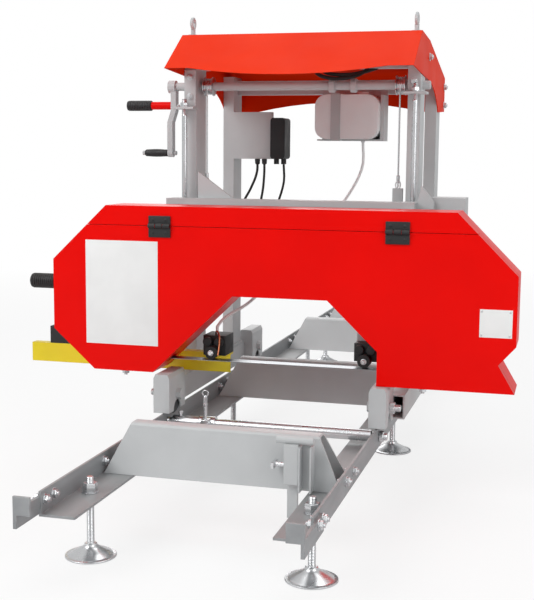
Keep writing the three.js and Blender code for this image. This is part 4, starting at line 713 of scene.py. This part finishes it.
# Bright cross rod with threaded ends and nuts
cross = {
    "y": 15, "z": 156, "radius": 9.5, "tube": 13.5, "end": 290.3, "tip": 8, "threadFrom": 257, "threadTo": 289,
    "pitch": 2.5, "stepFrom": 252, "stepTo": 253, "nut": 14, "nutFrom": 270.3, "nutHeight": 12,
}
at = row(0, cross["y"], cross["z"])
c = cross
bar = [(c["tip"], -c["end"])] + thread(c["radius"], -c["threadTo"], -c["threadFrom"], c["pitch"])
bar += [(c["radius"], -c["stepTo"]), (c["tube"], -c["stepFrom"])]
bar += [(c["tube"], c["stepFrom"]), (c["radius"], c["stepTo"])]
bar += thread(c["radius"], c["threadFrom"], c["threadTo"], c["pitch"]) + [(c["tip"], c["end"])]
parts = [turnPiece("bar", bar, at, "x", sides=40)]
for low in (-c["nutFrom"] - c["nutHeight"], c["nutFrom"]):
    parts.append(turnPiece("nut", hexagon(c["nut"], low, c["nutHeight"]), at, "x", sides=6))
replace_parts(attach(joinPieces("cross_rod", parts), "track"), "clamp_rod")

# The log dog's tube on the cross rod, with its ringed lifting pin
dog = {
    "tube": [(15, -251.5), (16, -250), (16, -182), (18, -180.5), (18, -139.6), (16.6, -138)],
    "lug": ((-170.1, -16, 140.1), (-149.9, 14, 171.9)), "lugRound": 2,
    "screwAt": (-232, 15, 171.5), "screw": [(4, 0), (4, 6), (6.5, 6), (6.5, 11), (5.5, 12)],
    "x": -160, "y": -6,
    "pin": [(3.6, 136), (5, 139), (5, 206), (6.4, 207), (6.4, 211), (5, 212), (5, 228), (3.5, 230)],
    "ringZ": 237, "major": 7.2, "minor": 1.6, "segments": 32, "stretch": (1.05, 1, 0.98),
}
parts = [
    turnPiece("sleeve", dog["tube"], at, "x", sides=40),
    blockPiece("lug", *dog["lug"], dog["lugRound"], zinc),
    turnPiece("set_screw", dog["screw"], row(*dog["screwAt"]), "z", sides=6),
]
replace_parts(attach(joinPieces("dog_tube", parts), "dog"), "dog_sleeve")
pin = turnPiece("pin", dog["pin"], row(dog["x"], dog["y"], 0), "z")
ring = ringPiece(row(dog["x"], dog["y"], dog["ringZ"]), dog)
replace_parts(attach(joinPieces("dog_lift_pin", [pin, ring]), "dog_bolt"), "dog_pin")

# Band tension knob: moulded ribbed grip on a threaded screw
tension = {
    "at": (-618, 146, 481), "screw": 8, "tip": 6.5, "reach": 236, "chamfer": 1.5, "screwEnd": 1, "ribs": 10,
    "first": 14, "pitch": 6, "neck": [(10, 0), (12.5, 1.5), (12.5, 7), (15, 10), (19, 12.5)],
    "rib": [(20, 0), (20, 3.6), (18.6, 4.4), (18.6, 5.4)], "end": [(20, 75), (18.5, 80), (14, 83), (8, 84)],
}
t, at = tension, row(*tension["at"])
screw = [(t["tip"], -t["reach"])] + thread(t["screw"], -t["reach"] + t["chamfer"], t["screwEnd"])
ribs = [ring for i in range(t["ribs"]) for ring in shifted(t["rib"], t["first"] + i * t["pitch"])]
parts = [
    turnPiece("screw", screw, at, "-x", sides=24),
    turnPiece("grip", t["neck"] + ribs + t["end"], at, "-x", plastic, 48),
]
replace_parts(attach(joinPieces("tension_knob", parts), "tension"), "tension_handle")

# Track wheels: a tread between two flanges that straddle the rail; bright nuts hold their axles
trackWheel = {
    "z": 222, "rows": {"front": 37.5, "rear": 780.5},
    "profile": [
        (15, 255.1), (19, 255.1), (20.5, 256.4), (36, 256.9), (38, 255.9), (48.8, 256.1), (50, 257), (50, 260.6),
        (49.2, 261.5), (43.5, 262.3), (42.9, 263), (42.9, 272), (43.5, 272.7), (49.2, 273.5), (50, 274.4), (50, 278),
        (48.8, 278.9), (38, 279.1), (36, 278.1), (20.5, 278.6), (19, 279.9), (15, 279.9),
    ],
    "nut": hexagon(14.5, 291.1, 12.6), "axle": thread(8.4, 302, 316, 2.5) + [(6.8, 317.6)],
}
for side, axis in (("left", "-x"), ("right", "x")):
    parts = []
    for end, y in trackWheel["rows"].items():
        at = row(0, y, trackWheel["z"])
        wheel = turnPiece(f"{end}_{side}_roller", trackWheel["profile"], at, axis, "grey_cast_iron", 56)
        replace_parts(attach(wheel, f"wheel_{end}_{side}"), f"{end}_{side}_wheel")
        parts.append(turnPiece("axle_nut", trackWheel["nut"], at, axis, sides=6))
        parts.append(turnPiece("axle_end", trackWheel["axle"], at, axis, sides=24))
    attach(joinPieces(f"{side}_axle_nuts", parts), "carriage")
print("cross rod, dog, tension knob and track wheels made")

# Cooling fins round the motor, left out under its terminal box
fins = {
    "x": 394, "z": 590, "radius": 71, "height": 8, "half": 1.4, "round": 0.9, "from": 226, "to": 412, "count": 32,
    "boxSpan": 0.62,
}
parts = []
for i in range(fins["count"]):
    angle = 2 * math.pi * (i + 0.5) / fins["count"]
    if abs(math.sin(angle)) < fins["boxSpan"] and math.cos(angle) > 0:
        continue
    low = (-fins["half"], fins["from"], fins["radius"])
    high = (fins["half"], fins["to"], fins["radius"] + fins["height"])
    fin = blockPiece("fin", low, high, fins["round"], "grey_powder_coat")
    turned = Matrix.Rotation(angle, 4, "Y") @ Matrix.Translation(-partZero)
    fin.data.transform(Matrix.Translation(row(fins["x"], 0, fins["z"])) @ turned)
    parts.append(fin)
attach(joinPieces("motor_fins", parts), "head")
print("guides, leads and motor fins made")

# Plain pale floor that keeps the object's shadow
bpy.ops.mesh.primitive_plane_add(size=floorLook["size"], location=(0, 0, 0))
floor = bpy.context.object
floor.name = "studio_floor"
floorMaterial, tree, shader, output = newMaterial("matt_white_floor")
shader.inputs["Base Color"].default_value = toLinear(floorLook["colour"])
shader.inputs["Roughness"].default_value = floorLook["rough"]
# What looks straight at the floor sees it fade to white away from the object
rays = addNode(tree, "ShaderNodeLightPath").outputs
sockets = {0: rays["Is Camera Ray"], 1: rays["Is Transmission Ray"]}
direct = addNode(tree, "ShaderNodeMath", sockets, operation="MAXIMUM")
place = addNode(tree, "ShaderNodeTexCoord").outputs["Object"]
far = addNode(tree, "ShaderNodeVectorMath", {0: place}, operation="LENGTH").outputs["Value"]
reach = {
    "Value": far, "From Min": floorLook["fadeFrom"], "From Max": floorLook["fadeTo"], "To Min": floorLook["lift"],
    "To Max": 1,
}
fade = addNode(tree, "ShaderNodeMapRange", reach).outputs[0]
share = addNode(tree, "ShaderNodeMath", {0: direct.outputs[0], 1: fade}, operation="MULTIPLY")
glow = addNode(tree, "ShaderNodeEmission", {"Color": pureWhite, "Strength": 1.0})
both = addNode(tree, "ShaderNodeMixShader", {0: share.outputs[0], 1: shader.outputs[0], 2: glow.outputs[0]})
tree.links.new(both.outputs[0], output.inputs["Surface"])
floor.data.materials.append(floorMaterial)
floor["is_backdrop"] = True
print("floor laid")

low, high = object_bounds()
